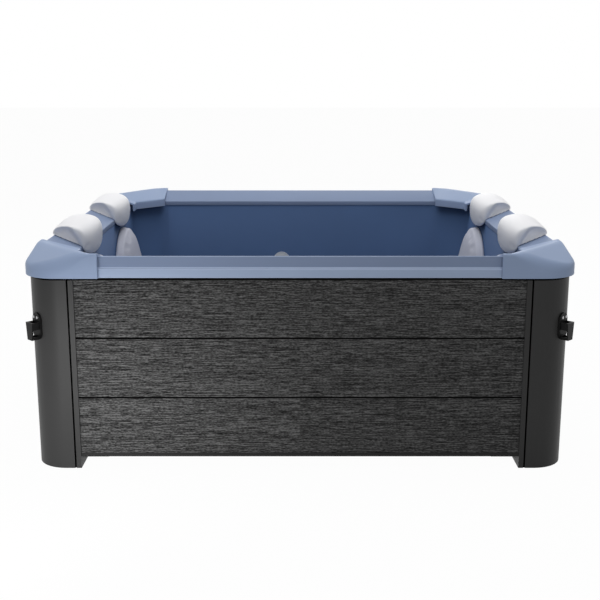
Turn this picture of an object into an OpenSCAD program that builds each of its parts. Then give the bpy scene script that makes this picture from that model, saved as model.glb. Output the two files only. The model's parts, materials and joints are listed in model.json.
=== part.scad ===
// Portable spa: a planked rigid frame with corner posts, a soft liner, a foam rim,
// head pillows, backrest pads and the water and air equipment in its rear wall.
// Millimetres. The origin is on the ground in the middle of the tub, +Z up, the front towards -Y.
// An inset is a distance inwards from the outline of the corner caps.

/* [Overall] */
// Width over the corner caps, left to right
tub_w = 1850; // [1600:10:2300]
// Depth over the corner caps, front to rear
tub_d = 1850; // [1600:10:2300]
// Height of the underside of the rim
rim_base = 665; // [640:5:820]
// Clearance between pieces that are put together
fit = 0.3; // [0.2:0.05:0.5]
// Radial clearance of a turning shaft or screw cap
running_fit = 0.08; // [0.03:0.01:0.1]

/* [Posts] */
// Inset of a post's outer faces
post_inset = 15; // [8:1:20]
// Width of a post from its outer face to the plank ends
post_w = 162; // [150:1:195]
// Wall of a hollow post
post_wall = 6; // [4:0.5:8]
// Width of the flange strip beside the planks
flange_w = 17; // [15:1:24]
// Width of the groove beside the flange strip
groove_w = 5; // [3:0.5:7]
// Depth of that groove
groove_d = 4; // [2:0.5:5]

/* [Panels] */
// Clear height under the sill strips
panel_gap = 41; // [20:1:60]
// Height of a sill strip's front lip
sill_h = 12; // [8:1:20]
// Sheet thickness of a sill strip
sill_t = 3; // [2:0.5:4]
// Width of the sill's ledge behind the planks, which carries the foam board
ledge_w = 40; // [20:1:60]
// Thickness of a plank
plank_t = 12; // [9:0.5:15]
// Thickness of the post's lip in front of a plank
plank_lip = 6; // [5:0.5:9]
// How far a plank reaches into the slot of a post
plank_tongue = 12; // [8:0.5:13]
// Bevel along the long edges of a plank
plank_bevel = 2.5; // [1:0.5:4]

/* [Rim] */
// Inset of a rail's upper outer face
rail_inset = 20; // [16:1:26]
// Width of a rail's top
rail_w = 105; // [95:1:130]
// Height of a rail's outer face
rail_h = 73; // [60:1:100]
// Height of the lower band of that face
band_h = 33; // [20:1:45]
// How far the lower band stands proud of the upper one
band_out = 7; // [3:1:10]
// Fall of a rail's top from its outer to its inner edge
rim_drop = 42; // [30:1:50]
// Height of a rail's inner lip
rail_lip = 20; // [15:1:25]
// How far a cap's top stands above the rails
cap_rise = 14; // [10:1:20]
// How far a cap stands inwards past the rails
cap_over = 19; // [12:1:26]
// How far a rail's end stays away from the line of the posts, under the caps' falling tops
rail_short = 35; // [25:1:50]
// Outer corner radius of a cap
cap_r = 125; // [105:1:140]
// Length of a cap along the front or rear rail
cap_leg_front = 263; // [240:1:320]
// Length of a cap along a side rail
cap_leg_side = 320; // [270:1:360]
// Distance from the corner at which a cap's outer edge begins to fall
ridge_reach = 250; // [200:1:340]
// Fall from there to the round of the corner
ridge_fall = 52; // [30:1:60]

/* [Liner] */
// Thickness of the liner
liner_t = 3; // [2:0.5:5]
// How far the liner's inner face lies behind a rail's lip
liner_back = 2; // [1:0.5:2.5]
// Leg of the liner's corner chamfers
liner_chamfer = 130; // [110:1:150]
// Thickness of the mat under the liner
mat_t = 15; // [8:1:25]
// Distance of the mat's edge inside the liner's wall
mat_margin = 20; // [10:1:40]
// Radius of the bubble ring's tube
ring_r = 18; // [14:1:20]
// Wall of that tube
ring_wall = 3; // [2:0.5:4]
// Distance of the tube's axis from the liner's wall
ring_gap = 60; // [50:1:90]
// Bend radius of the ring's corners
ring_bend = 150; // [130:5:200]
// Radius of a bubble hole
bubble_r = 2; // [1:0.5:3]

/* [Pillows] */
// Length of a pillow at the rail's outer edge
pillow_len = 310; // [250:5:340]
// Length of a pillow over the tub
pillow_len_in = 320; // [260:5:400]
// Share of the free length beside a pillow that lies between it and the cap
pillow_share = 0.39; // [0.2:0.01:0.5]
// Height of the crown above the rail's outer edge
pillow_rise = 52; // [35:1:70]
// How far a pillow bulges inwards past the rail
pillow_in = 37; // [25:1:50]
// How far its tongue hangs below the rail's inner top edge
pillow_hang = 46; // [35:1:60]
// Depth of the hollow in a pillow's end face
pillow_scoop = 26; // [10:1:40]

/* [Backrests] */
// Width of a backrest pad
backrest_w = 370; // [300:5:380]
// Height of its round top
backrest_top = 640; // [560:5:640]
// Height of its lower end
backrest_foot = 180; // [150:5:220]
// Thickness at its crown
backrest_t = 95; // [60:1:95]
// Thickness at its edge
backrest_edge = 18; // [12:1:24]
// Radius of its lower corners
backrest_r = 60; // [30:5:90]

/* [Cover clips] */
// Height of a clip's middle
clip_z = 495; // [300:5:560]
// Height of a clip's back plate
clip_h = 92; // [86:1:120]
// Width of a clip's back plate
clip_w = 46; // [42:1:60]
// Thickness of a clip's back plate
clip_plate = 6; // [5:0.5:8]
// How far a clip stands out of the post
clip_out = 34; // [32:1:40]
// Wall of a clip's socket
clip_wall = 5; // [4:0.5:6]
// Radius of a clip screw
screw_r = 2.5; // [2:0.1:3]

/* [Equipment] */
// Width of the equipment bay in the rear wall
bay_w = 660; // [640:10:760]
// Height of the bay's top
bay_top = 610; // [600:5:620]
// Thickness of the tray's back plate
tray_t = 5; // [3:0.5:6]
// Inset of the pump's, heater's and blower's middle plane
equipment_inset = 76; // [75:0.5:77]
// Height of the pump's axis
pump_z = 200; // [180:5:230]
// Radius of the pump's volute
volute_r = 36; // [34:0.5:37]
// Radius of the pump's motor
motor_r = 30; // [26:0.5:31]
// Height of the heater and of the return fitting
heater_z = 405; // [390:5:420]
// Radius of the heater's tube
heater_r = 28; // [24:0.5:30]
// Outer radius of the water and air hoses
hose_r = 15; // [13:0.5:16]
// Wall of a hose
hose_wall = 3; // [2:0.5:4]
// Middle of the blower, left of the tub's middle
blower_x = -200; // [-230:5:-190]
// Height of the blower's axis
blower_z = 250; // [240:5:280]
// Radius of the blower's body
blower_r = 75; // [70:1:80]
// Depth of the blower's body
blower_depth = 64; // [50:1:66]
// Radius of a motor shaft
shaft_r = 4; // [3:0.5:5]
// Radius of the filter cup
filter_r = 58; // [50:1:64]
// Length of the filter cup
filter_len = 120; // [100:5:150]
// Wall of the filter cup
filter_wall = 4; // [3:0.5:6]
// Radius of the return fitting's flange
return_r = 40; // [32:1:45]
// Place of the drain, right of the tub's middle
drain_x = 420; // [380:5:460]
// Height of the drain
drain_z = 85; // [75:1:110]
// Radius of the drain pipe
drain_r = 16; // [14:0.5:18]
// Radius of the cable hole in the power gland
gland_bore_r = 4.5; // [3:0.5:6]

/* [Control unit] */
// Width of the control unit's face
control_w = 170; // [150:5:220]
// Height of the control unit's face
control_h = 95; // [90:1:105]
// Height of its middle
control_z = 585; // [570:1:600]
// How far the face stands out of the planks
control_out = 16; // [12:1:18]
// Radius of a button
button_r = 8; // [6:0.5:10]
// Travel of a button
button_travel = 2; // [1:0.5:3]

/* [Hidden] */
$fn = 64;
eps = 1;
hw = tub_w / 2;
hd = tub_d / 2;

corner_list = [["front_left", -1, -1], ["front_right", 1, -1], ["rear_left", -1, 1], ["rear_right", 1, 1]];
side_list = ["front", "rear", "left", "right"];
row_list = ["low", "middle", "top"];
seat_list = [["front_left", -1, -1], ["front_right", 1, -1], ["rear_left", -1, 1], ["rear_right", 1, 1]];
button_list = [["heat_button", -1], ["filter_button", 0], ["bubble_button", 1]];

// Insets and heights that follow from the sizes above
post_far = post_inset + post_w;
post_r = cap_r - post_inset;
plank_inset = post_inset + plank_lip;
foam_inset = plank_inset + plank_t;
rail_top = rim_base + rail_h;
rail_in = rail_inset + rail_w;
rail_in_z = rail_top - rim_drop;
band_inset = rail_inset - band_out;
band_slope = 3;
cap_top = rail_top + cap_rise;
cap_in = rail_in + cap_over;
cap_in_z = rail_in_z + cap_rise;
liner_inset = rail_in - liner_back;
liner_out = liner_inset - liner_t;
liner_top = rail_in_z - rail_lip;
sill_top = panel_gap + sill_t;
plank_pitch = (rim_base - sill_top) / len(row_list);
return_wall = flange_w + groove_w + 2;
ring_inset = liner_inset + ring_gap;
ring_z = mat_t + liner_t + ring_r;

// Distance of a pillow's middle from the middle of its rail
pillow_run = hd - cap_leg_side;
pillow_pos = pillow_run - pillow_len_in / 2 - pillow_share * (pillow_run - pillow_len_in);

// Equipment bay
tray_face = liner_out - tray_t;
elbow_r = tray_face - equipment_inset;
eq_y = hd - equipment_inset;
tray_y = hd - tray_face;
tray_gap = 2;
volute_x = 134;
volute_len = 36;
motor_len = 124;
inlet_x = volute_x + volute_len + 20;
filter_x = inlet_x + elbow_r;
filter_z = pump_z;
stub_r = 20;
heater_x0 = -40;
heater_x1 = 110;
heater_neck = 12;
discharge_x = volute_x + volute_len / 2;
discharge_bend = discharge_x - heater_x1 - heater_neck;
discharge_top = pump_z + volute_r + 12;
return_x = heater_x0 - heater_neck - elbow_r;
air_x = blower_x - blower_r + hose_r + 10;
air_top = blower_z - blower_r - 15;
air_straight = 11;
air_z = air_top - elbow_r - air_straight;
gland_x = blower_x - 90;
gland_z = 400;
gland_r = 12;
gland_y = hd - foam_inset - 27;

// Helpers: places and directions

// Draws children at a corner: the caps' outline meets at the origin and x and y grow outwards.
module at_corner(c)
    mirror([c[1] < 0 ? 1 : 0, 0, 0])
        mirror([0, c[2] < 0 ? 1 : 0, 0])
            translate([hw, hd, 0])
                children();

// Draws children on a side: x runs along it, y grows outwards and is 0 at the caps' outline.
module on_side(s)
    rotate(s == "rear" ? 0 : s == "front" ? 180 : s == "left" ? 90 : -90)
        translate([0, s == "front" || s == "rear" ? hd : hw, 0])
            children();

// Half of the clear run between the posts of a side
function half_run(s) = (s == "front" || s == "rear" ? hw : hd) - post_far;

// Extrudes a (y, z) profile along x, about the middle.
module along_x(length)
    rotate([90, 0, 90])
        linear_extrude(length, center = true)
            children();

// A round bar along x or y between two places
module bar_x(r, x0, x1)
    translate([x0, 0, 0])
        rotate([0, 90, 0])
            cylinder(h = x1 - x0, r = r);

module bar_y(r, y0, y1)
    translate([0, y0, 0])
        rotate([-90, 0, 0])
            cylinder(h = y1 - y0, r = r);

// A block between two corners
module block(a, b)
    translate(a)
        cube(b - a);

// A quarter bend of a round bar in the xy plane, from (bend, 0) to (0, bend)
module quarter(bend, r)
    rotate_extrude(angle = 90)
        translate([bend, 0])
            circle(r);

// A square from lo to hi on both axes with a round corner at hi
module rounded_square(lo, hi, r) {
    translate([lo, lo])
        square([hi - lo - r, hi - lo]);
    translate([lo, lo])
        square([hi - lo, hi - lo - r]);
    translate([hi - r, hi - r])
        intersection() {
            circle(r);
            square(r);
        }
}

// The basin's plan, grown outwards by d from the liner's inner face
module basin_plan(d) {
    a = hw - liner_inset + d;
    b = hd - liner_inset + d;
    c = liner_chamfer + d * (2 - sqrt(2));
    polygon([
        [a - c, -b], [a, c - b], [a, b - c], [a - c, b],
        [c - a, b], [-a, b - c], [-a, c - b], [c - a, -b]
    ]);
}

// Frame

// Plan of a post, drawn in by t: the outer box, kept outside the liner, and the wing behind the liner's corner
module post_plan(t, box_t) {
    reach = 2 * liner_inset + liner_chamfer - (liner_t + t) * sqrt(2);
    edge = liner_out + t;
    intersection() {
        rounded_square(box_t - post_far, -post_inset - t, post_r - t);
        polygon([[0, 0], [-reach, 0], [0, -reach]]);
    }
    polygon([[-edge, -edge], [edge - reach, -edge], [-edge, edge - reach]]);
}

module post(c)
    color("#3c3d3f")
        at_corner(c)
            difference() {
                linear_extrude(rim_base)
                    post_plan(0, 0);
                translate([0, 0, -eps])
                    linear_extrude(rim_base - post_wall + eps)
                        post_plan(post_wall, return_wall);
                for (m = [0, 1])
                    mirror([m, -m, 0]) {
                        post_slot();
                        post_groove();
                    }
                for (y = [-clip_screw_y, clip_screw_y])
                    at_clip_on_corner()
                        translate([0, y, clip_screw_z])
                            bar_x(screw_r + running_fit, post_r - 2 * post_wall, post_r + eps);
            }

// Slot in a post's inner side that takes the ends of the planks
module post_slot()
    block(
        [-post_far - eps, -foam_inset - fit, sill_top - fit],
        [-post_far + plank_tongue + fit, -plank_inset + fit, rim_base + eps]
    );

// Groove that divides the flange strip from the round of a post
module post_groove()
    block(
        [-post_far + flange_w, -post_inset - groove_d, -eps],
        [-post_far + flange_w + groove_w, -post_inset + eps, rim_base + eps]
    );

module sill_strips()
    color("#2b2c2e")
        for (s = side_list)
            on_side(s)
                along_x(2 * half_run(s))
                    polygon([
                        [sill_t - plank_inset, panel_gap],
                        [sill_t - plank_inset, panel_gap + sill_h],
                        [-plank_inset, panel_gap + sill_h],
                        [-plank_inset, sill_top],
                        [-foam_inset - ledge_w, sill_top],
                        [-foam_inset - ledge_w, panel_gap]
                    ]);

module plank(s, row)
    color("#4a4b4d")
        difference() {
            on_side(s)
                translate([0, 0, sill_top + row * plank_pitch])
                    along_x(2 * (half_run(s) + plank_tongue))
                        polygon([
                            [-foam_inset, 0],
                            [-plank_inset - plank_bevel, 0],
                            [-plank_inset, plank_bevel],
                            [-plank_inset, plank_pitch - plank_bevel],
                            [-plank_inset - plank_bevel, plank_pitch],
                            [-foam_inset, plank_pitch]
                        ]);
            if (s == "rear")
                rear_wall_holes();
        }

// Holes through the rear wall for what reaches the outside
module rear_wall_holes() {
    translate([drain_x, 0, drain_z])
        bar_y(drain_r + fit, hd - liner_out - eps, hd);
    translate([gland_x, 0, gland_z])
        bar_y(gland_r + fit, hd - tray_face, hd);
    control_box(fit, hd - tray_face + eps, hd);
    for (x = [-1, 1], z = [-1, 1])
        translate([x * control_screw_x, 0, control_z + z * control_screw_z])
            bar_y(screw_r + running_fit, hd - foam_inset - eps, hd);
}

// A foam board fills the wall between planks and liner; the rear one leaves the equipment bay.
module foam_board(s)
    color("#d9dadb")
        difference() {
            on_side(s)
                block([-half_run(s), -liner_out, sill_top], [half_run(s), -foam_inset, rim_base]);
            if (s == "rear") {
                block(
                    [-bay_w / 2, hd - liner_out - eps, sill_top - eps],
                    [bay_w / 2, hd - foam_inset + eps, bay_top]
                );
                rear_wall_holes();
            }
        }

// Rim

// A rail's section, grown by g, from its outer foot over the top to its inner edge
function rail_outline(g) = [
    [g - band_inset, rim_base - (g > 0 ? eps : 0)],
    [g - band_inset, rim_base + band_h - band_slope + g],
    [g - rail_inset, rim_base + band_h + g],
    [g - rail_inset, rail_top + g],
    [-rail_in - g, rail_in_z + g]
];

module rim_rail(s)
    color("#7d8eb0")
        on_side(s)
            along_x(2 * (half_run(s) - rail_short))
                polygon(concat(rail_outline(0), [
                    [-rail_in, liner_top],
                    [fit - liner_out, liner_top],
                    [fit - liner_out, rim_base]
                ]));

// Room for the end of a rail inside a cap, which reaches leg past the corner
module rail_pocket(leg) {
    start = -leg - eps;
    end = fit - post_far - rail_short;
    translate([(start + end) / 2, 0, 0])
        along_x(end - start)
            polygon(concat(rail_outline(fit), [[-rail_in - fit, rim_base - eps]]));
}

// Everything under a plane that passes through p, faces up and rises at tan(angle) along heading
module under_plane(p, heading, angle)
    translate(p)
        rotate([0, 0, heading])
            rotate([0, -angle, 0])
                translate([-hw, -hw, -2 * hw])
                    cube([2 * hw, 2 * hw, 2 * hw]);

// Plan of a cap: two legs, the diagonal between them and the round outer corner
module cap_plan() {
    rounded_square(-cap_in, 0, cap_r);
    translate([-cap_leg_front, -cap_in])
        square([cap_leg_front - cap_r, cap_in]);
    translate([-cap_in, -cap_leg_side])
        square([cap_in, cap_leg_side - cap_r]);
    polygon([[-cap_in, -cap_in], [-cap_leg_front, -cap_in], [-cap_in, -cap_leg_front]]);
}

// The plane at which a cap falls outwards to its corner
module corner_fall() {
    run = ridge_reach / sqrt(2) - cap_r * (sqrt(2) - 1);
    under_plane([-ridge_reach / 2, -ridge_reach / 2, cap_top], 45, -atan(ridge_fall / run));
}

module corner_cap(c)
    color("#8fa0c4")
        difference() {
            at_corner(c)
                difference() {
                    intersection() {
                        translate([0, 0, rim_base])
                            linear_extrude(2 * rail_h)
                                cap_plan();
                        cap_roof();
                        corner_fall();
                    }
                    rail_pocket(cap_leg_front);
                    mirror([1, -1, 0])
                        rail_pocket(cap_leg_side);
                }
            translate([0, 0, rim_base - eps])
                linear_extrude(liner_top - rim_base + eps + fit)
                    basin_plan(liner_t + fit);
        }

// Three planes that fall inwards, one from each outer face and one from the ridge across the corner
module cap_roof() {
    leg_angle = atan((cap_top - cap_in_z) / cap_in);
    diagonal = (cap_in + cap_leg_front - ridge_reach) / sqrt(2);
    middle = -(cap_in + cap_leg_front) / 2;
    under_plane([0, 0, cap_top], 0, leg_angle);
    under_plane([0, 0, cap_top], 90, leg_angle);
    under_plane([middle, middle, cap_in_z], 45, atan((cap_top - cap_in_z) / diagonal));
}

// Liner and floor

module liner()
    color("#44597f")
        difference() {
            translate([0, 0, mat_t])
                linear_extrude(liner_top - mat_t)
                    basin_plan(liner_t);
            translate([0, 0, mat_t + liner_t])
                linear_extrude(liner_top)
                    basin_plan(0);
            wall_fittings(fit, hd - liner_inset - eps, hd - liner_out + eps);
            translate([drain_x, 0, drain_z])
                bar_y(drain_r + fit, hd - liner_inset - eps, hd - liner_out + eps);
        }

// The round passages through liner and tray, grown by g
module wall_fittings(g, y0, y1) {
    translate([filter_x, 0, filter_z])
        bar_y(stub_r + g, y0, y1);
    translate([return_x, 0, heater_z])
        bar_y(hose_r + g, y0, y1);
    translate([air_x, 0, air_z])
        bar_y(hose_r + g, y0, y1);
}

module base_mat()
    color("#55585c")
        linear_extrude(mat_t)
            basin_plan(-mat_margin);

// The bubble ring: four tubes and four bends on the floor, with a riser to the air hose
module bubble_ring()
    color("#c7ccd6") {
        for (s = side_list)
            ring_tube(s);
        for (c = corner_list)
            at_corner(c)
                translate([-ring_inset - ring_bend, -ring_inset - ring_bend, ring_z])
                    difference() {
                        quarter(ring_bend, ring_r);
                        quarter(ring_bend, ring_r - ring_wall);
                    }
    }

module ring_tube(s) {
    half = half_run(s) + post_far - ring_inset - ring_bend;
    holes = 6;
    difference() {
        union() {
            on_side(s)
                translate([0, -ring_inset, ring_z])
                    bar_x(ring_r, -half, half);
            if (s == "rear")
                air_riser(hose_r, 0);
        }
        on_side(s)
            translate([0, -ring_inset, ring_z]) {
                bar_x(ring_r - ring_wall, -half - eps, half + eps);
                for (i = [0 : holes - 1])
                    translate([half * (2 * i + 1 - holes) / holes, 0, 0])
                        cylinder(h = ring_r + eps, r = bubble_r);
            }
        if (s == "rear")
            air_riser(hose_r - hose_wall, eps);
    }
}

// The riser leaves the ring upwards and turns to the rear wall.
module air_riser(r, extra) {
    translate([air_x, hd - ring_inset, ring_z])
        cylinder(h = air_z - ring_z, r = r);
    translate([air_x, hd - ring_inset, air_z])
        sphere(r);
    translate([air_x, 0, air_z])
        bar_y(r, hd - ring_inset, tray_y + extra);
}

// Soft pieces

function bezier(p, t) =
    pow(1 - t, 3) * p[0] + 3 * pow(1 - t, 2) * t * p[1] + 3 * (1 - t) * t * t * p[2] + pow(t, 3) * p[3];

function clamp(v) = max(0, min(1, v));

// Height of a rail's top at y, level past its inner edge
function rail_z(y) = rail_top + (max(y, -rail_in) + rail_inset) * rim_drop / rail_w;

// Pillow section at s, from -1 at one end to 1 at the other: tail, crown, bulge, tongue, underside
tail_in = 4;
tail_lift = 4;
tail_y = -rail_inset - tail_in;
crown_y = -rail_inset - 60;
bulge_drop = 16;
tongue_in = 15;
tongue_back = 11;
seat_gap = 2 * fit;
pillow_flat = 0.24;
pillow_round = 0.95;

// Lengths of the handles that bend the section's curves
tail_pull = 28;
crown_pull = [30, 45];
bulge_pull = [45, 35];
tongue_pull = 12;

// Size of bulge and tongue at s, as a share of their size in the middle
function pillow_swell(s) = sqrt(1 - pillow_round * s * s);

function pillow_top(s) =
    let (
        k = pillow_swell(s),
        bulge_y = -rail_in - pillow_in * k,
        tongue_y = -rail_in - tongue_in * k,
        low = rail_in_z - pillow_hang * k,
        high = rail_top + pillow_rise,
        tail = [tail_y, rail_z(tail_y) + tail_lift],
        crown = [crown_y, high],
        bulge = [bulge_y, rail_top - bulge_drop],
        tongue = [tongue_y, low],
        up = [tail, tail + [-tail_in, tail_pull], crown + [crown_pull[0], 0], crown],
        over = [crown, crown - [crown_pull[1], 0], bulge + [0, bulge_pull[0]], bulge],
        down = [bulge, bulge - [0, bulge_pull[1]], tongue - [tongue_pull * k, 0], tongue],
        back_y = -rail_in - seat_gap
    )
    concat(
        [for (i = [0 : 5]) bezier(up, i / 6)],
        [for (i = [0 : 6]) bezier(over, i / 7)],
        [for (i = [0 : 6]) bezier(down, i / 6)],
        [[(tongue_y + back_y) / 2, low + tongue_back * k / 4], [back_y, low + tongue_back * k]]
    );

function pillow_under() =
    let (steps = 5, inner = -rail_in - seat_gap)
    [for (i = [0 : steps])
        let (y = inner + (tail_y - inner) * i / (steps + 0.4))
        [y, rail_z(y) + seat_gap]];

function pillow_half(y) =
    (pillow_len + (pillow_len_in - pillow_len) * clamp((tail_y - y) / (tail_y + rail_in))) / 2;

function pillow_point(p, s) =
    let (base = rail_z(p[0]))
    [
        s * pillow_half(p[0]),
        p[0],
        p[1] > base + seat_gap ? base + (p[1] - base) * max(1 - pillow_flat * s * s, 0) : p[1]
    ];

function pillow_ring(s) = concat(
    [for (p = pillow_top(s)) pillow_point(p, s)],
    [for (p = pillow_under()) [s * pillow_half(p[0]), p[0], p[1]]]
);

function average(points) = [for (k = [0 : 2]) [for (p = points) p[k]] * [for (p = points) 1] / len(points)];

// A ring of an end face, drawn in to its middle and pushed in by depth
function scooped(ring, share, depth) =
    let (middle = average(ring))
    [for (p = ring) middle + (p - middle) * share + [depth, 0, 0]];

// Triangles between two rings of m points that start at a and b
function ring_faces(a, b, m) = [
    for (i = [0 : m - 1], half = [0, 1])
        let (j = (i + 1) % m)
        half == 0 ? [a + i, b + i, b + j] : [a + i, b + j, a + j]
];

// Triangles from a ring of m points that starts at a to one point
function fan_faces(a, tip, m, turn) = [
    for (i = [0 : m - 1])
        let (j = (i + 1) % m)
        turn ? [a + i, tip, a + j] : [a + j, tip, a + i]
];

// A closed skin over a list of rings, with a point at each end
module ring_skin(rings, first, last) {
    m = len(rings[0]);
    n = len(rings);
    points = concat([for (r = rings, p = r) p], [first, last]);
    polyhedron(
        points,
        concat(
            [for (k = [0 : n - 2]) each ring_faces(k * m, (k + 1) * m, m)],
            fan_faces(0, n * m, m, false),
            fan_faces((n - 1) * m, n * m + 1, m, true)
        )
    );
}

module pillow_form() {
    spans = 12;
    body = [for (k = [0 : spans]) pillow_ring(2 * k / spans - 1)];
    start = body[0];
    end = body[spans];
    ring_skin(
        concat(
            [scooped(start, 0.35, pillow_scoop), scooped(start, 0.7, pillow_scoop * 0.7)],
            body,
            [scooped(end, 0.7, -pillow_scoop * 0.7), scooped(end, 0.35, -pillow_scoop)]
        ),
        average(start) + [pillow_scoop, 0, 0],
        average(end) - [pillow_scoop, 0, 0]
    );
}

// Places a soft piece on the left or right side, towards the front or the rear.
module at_seat(p)
    mirror([p[1] > 0 ? 1 : 0, 0, 0])
        on_side("left")
            translate([p[2] * pillow_pos, 0, 0])
                children();

module pillow(p)
    color("#e6e7ea")
        at_seat(p)
            pillow_form();

// Outline of a backrest in (x, z): a half round top, straight sides and round lower corners
function backrest_outline() =
    let (a = backrest_w / 2, r = backrest_r, mid = backrest_top - a)
    concat(
        [for (i = [0 : 16]) [a * cos(180 * i / 16), mid + a * sin(180 * i / 16)]],
        [[-a, (mid + backrest_foot + r) / 2]],
        [for (i = [0 : 5]) [r - a - r * cos(18 * i), backrest_foot + r - r * sin(18 * i)]],
        [for (i = [0 : 5]) [a - r + r * sin(18 * i), backrest_foot + r - r * cos(18 * i)]],
        [[a, (mid + backrest_foot + r) / 2]]
    );

function backrest_ring(share, depth) =
    let (mid = (backrest_top + backrest_foot) / 2)
    [for (p = backrest_outline()) [p[0] * share, -liner_inset - seat_gap - depth, mid + (p[1] - mid) * share]];

function backrest_depth(share) = backrest_edge + (backrest_t - backrest_edge) * (1 - pow(share, 3));

module backrest(p)
    color("#cfd0d4")
        at_seat(p)
            ring_skin(
                concat(
                    [backrest_ring(0.95, 0), backrest_ring(1, backrest_edge / 2)],
                    [for (share = [0.97, 0.88, 0.7, 0.4]) backrest_ring(share, backrest_depth(share))]
                ),
                [0, -liner_inset - seat_gap, (backrest_top + backrest_foot) / 2],
                [0, -liner_inset - seat_gap - backrest_t, (backrest_top + backrest_foot) / 2]
            );

// Cover clips and screws

socket_top = clip_h / 2 - 30;
socket_low = -clip_h / 2 + 2;
socket_w_top = 40;
socket_w_low = 28;
clip_screw_y = 10;
clip_screw_z = clip_h / 2 - 15;

// Draws children on the round of a post, with x pointing out of the corner.
module at_clip_on_corner()
    translate([-cap_r, -cap_r, clip_z])
        rotate(45)
            children();

module cover_clips()
    color("#1b1b1d")
        for (c = corner_list)
            at_corner(c)
                at_clip_on_corner()
                    clip();

module clip() {
    front = post_r + clip_out;
    back = post_r + clip_plate;
    difference() {
        union() {
            translate([(front + back) / 2, 0, 0])
                along_x(front - back)
                    socket_plan(0);
            translate([post_r, 0, 0])
                along_x(2 * clip_plate)
                    clip_plate_plan();
        }
        translate([0, 0, -clip_h])
            cylinder(h = 2 * clip_h, r = post_r, $fn = 96);
        translate([(front - clip_wall + back) / 2, 0, 0])
            along_x(front - clip_wall - back)
                difference() {
                    socket_plan(clip_wall);
                    translate([-clip_w, socket_low - eps])
                        square([2 * clip_w, clip_wall + eps]);
                }
        block(
            [back, -clip_w, socket_low + 2 * clip_wall],
            [front - clip_wall, clip_w, (socket_low + socket_top) / 2 + 4]
        );
        for (y = [-clip_screw_y, clip_screw_y])
            translate([0, y, clip_screw_z])
                bar_x(screw_r + running_fit, post_r - clip_plate, back + eps);
    }
}

// Front outline of a clip's socket, drawn in by t at the sides and open at the top
module socket_plan(t)
    polygon([
        [t - socket_w_low / 2, socket_low],
        [socket_w_low / 2 - t, socket_low],
        [socket_w_top / 2 - t, socket_top + (t > 0 ? eps : 0)],
        [t - socket_w_top / 2, socket_top + (t > 0 ? eps : 0)]
    ]);

module clip_plate_plan() {
    straight = clip_h - clip_w;
    translate([-clip_w / 2, -straight / 2])
        square([clip_w, straight]);
    for (k = [-1, 1])
        translate([0, k * straight / 2])
            circle(d = clip_w);
}

screw_head_r = 4.5;
screw_head = 3;
control_screw_x = control_w / 2 - 8;
control_screw_z = control_h / 2 - 8;

module screws()
    color("#9a9c9f") {
        for (c = corner_list, y = [-clip_screw_y, clip_screw_y])
            at_corner(c)
                at_clip_on_corner()
                    translate([post_r + clip_plate, y, clip_screw_z])
                        screw(clip_plate + post_wall);
        for (x = [-1, 1], z = [-1, 1])
            translate([x * control_screw_x, control_face - control_sink, control_z + z * control_screw_z])
                rotate(90)
                    screw(control_out - control_sink + plank_t);
    }

// A screw along x with its head's underside at 0 and its shank reaching length behind it
module screw(length)
    difference() {
        union() {
            bar_x(screw_head_r, 0, screw_head);
            bar_x(screw_r, -length, 0);
        }
        bar_x(screw_r * 0.7, screw_head / 2, screw_head + eps, $fn = 6);
    }

// Equipment tray, pump, heater, blower and hoses

module equipment_tray()
    color("#3a3c40")
        difference() {
            union() {
                block(
                    [tray_gap - bay_w / 2, hd - liner_out, sill_top],
                    [bay_w / 2 - tray_gap, tray_y, bay_top - tray_gap]
                );
                for (x = [volute_x - 30, volute_x - motor_len + 20])
                    saddle(x, pump_z);
                for (x = [heater_x0 + 25, heater_x1 - 25])
                    saddle(x, heater_z);
                block(
                    [blower_x - 30, tray_y - eps, blower_z - 30],
                    [blower_x + 30, eq_y - blower_depth / 2, blower_z + 30]
                );
                translate([gland_x, 0, gland_z])
                    bar_y(gland_r, gland_y, hd - plank_inset + 10);
                block(
                    [gland_x - gland_r - 6, tray_y - eps, gland_z - 8],
                    [gland_x - gland_r + 4, gland_y + 18, gland_z + 8]
                );
            }
            wall_fittings(fit, hd - liner_inset, tray_y + eps);
            translate([0, eq_y, pump_z])
                bar_x(motor_r, volute_x - motor_len, volute_x);
            translate([0, eq_y, heater_z])
                bar_x(heater_r, heater_x0, heater_x1);
            translate([gland_x, 0, gland_z])
                bar_y(gland_bore_r, gland_y - eps, hd);
        }

// A block of the tray that holds a round body on the middle plane
module saddle(x, z)
    block([x - 8, tray_y - eps, z - 22], [x + 8, eq_y - 10, z + 22]);

module pump_body()
    color("#5f6368")
        translate([0, eq_y, pump_z])
            difference() {
                union() {
                    bar_x(volute_r, volute_x, volute_x + volute_len);
                    bar_x(motor_r, volute_x - motor_len, volute_x);
                    bar_x(hose_r, volute_x, inlet_x);
                    translate([discharge_x, 0, 0])
                        cylinder(h = discharge_top - pump_z, r = hose_r);
                }
                bar_x(volute_r - 5, volute_x + 5, volute_x + volute_len - 5);
                bar_x(hose_r - hose_wall, volute_x + 5, inlet_x + eps);
                translate([discharge_x, 0, 0])
                    cylinder(h = discharge_top - pump_z + eps, r = hose_r - hose_wall);
                bar_x(shaft_r, volute_x - motor_len / 2, volute_x + 5 + eps);
            }

module pump_impeller()
    color("#e8e8e6")
        translate([0, eq_y, pump_z]) {
            bar_x(volute_r - 8, volute_x + 7, volute_x + 10);
            bar_x(shaft_r + 5, volute_x + 7, volute_x + 24);
            bar_x(shaft_r - running_fit, volute_x - motor_len / 2 + fit, volute_x + 8);
            for (a = [0 : 60 : 300])
                rotate([a, 0, 0])
                    block([volute_x + 9, -1.5, shaft_r + 3], [volute_x + 20, 1.5, volute_r - 9]);
        }

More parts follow.
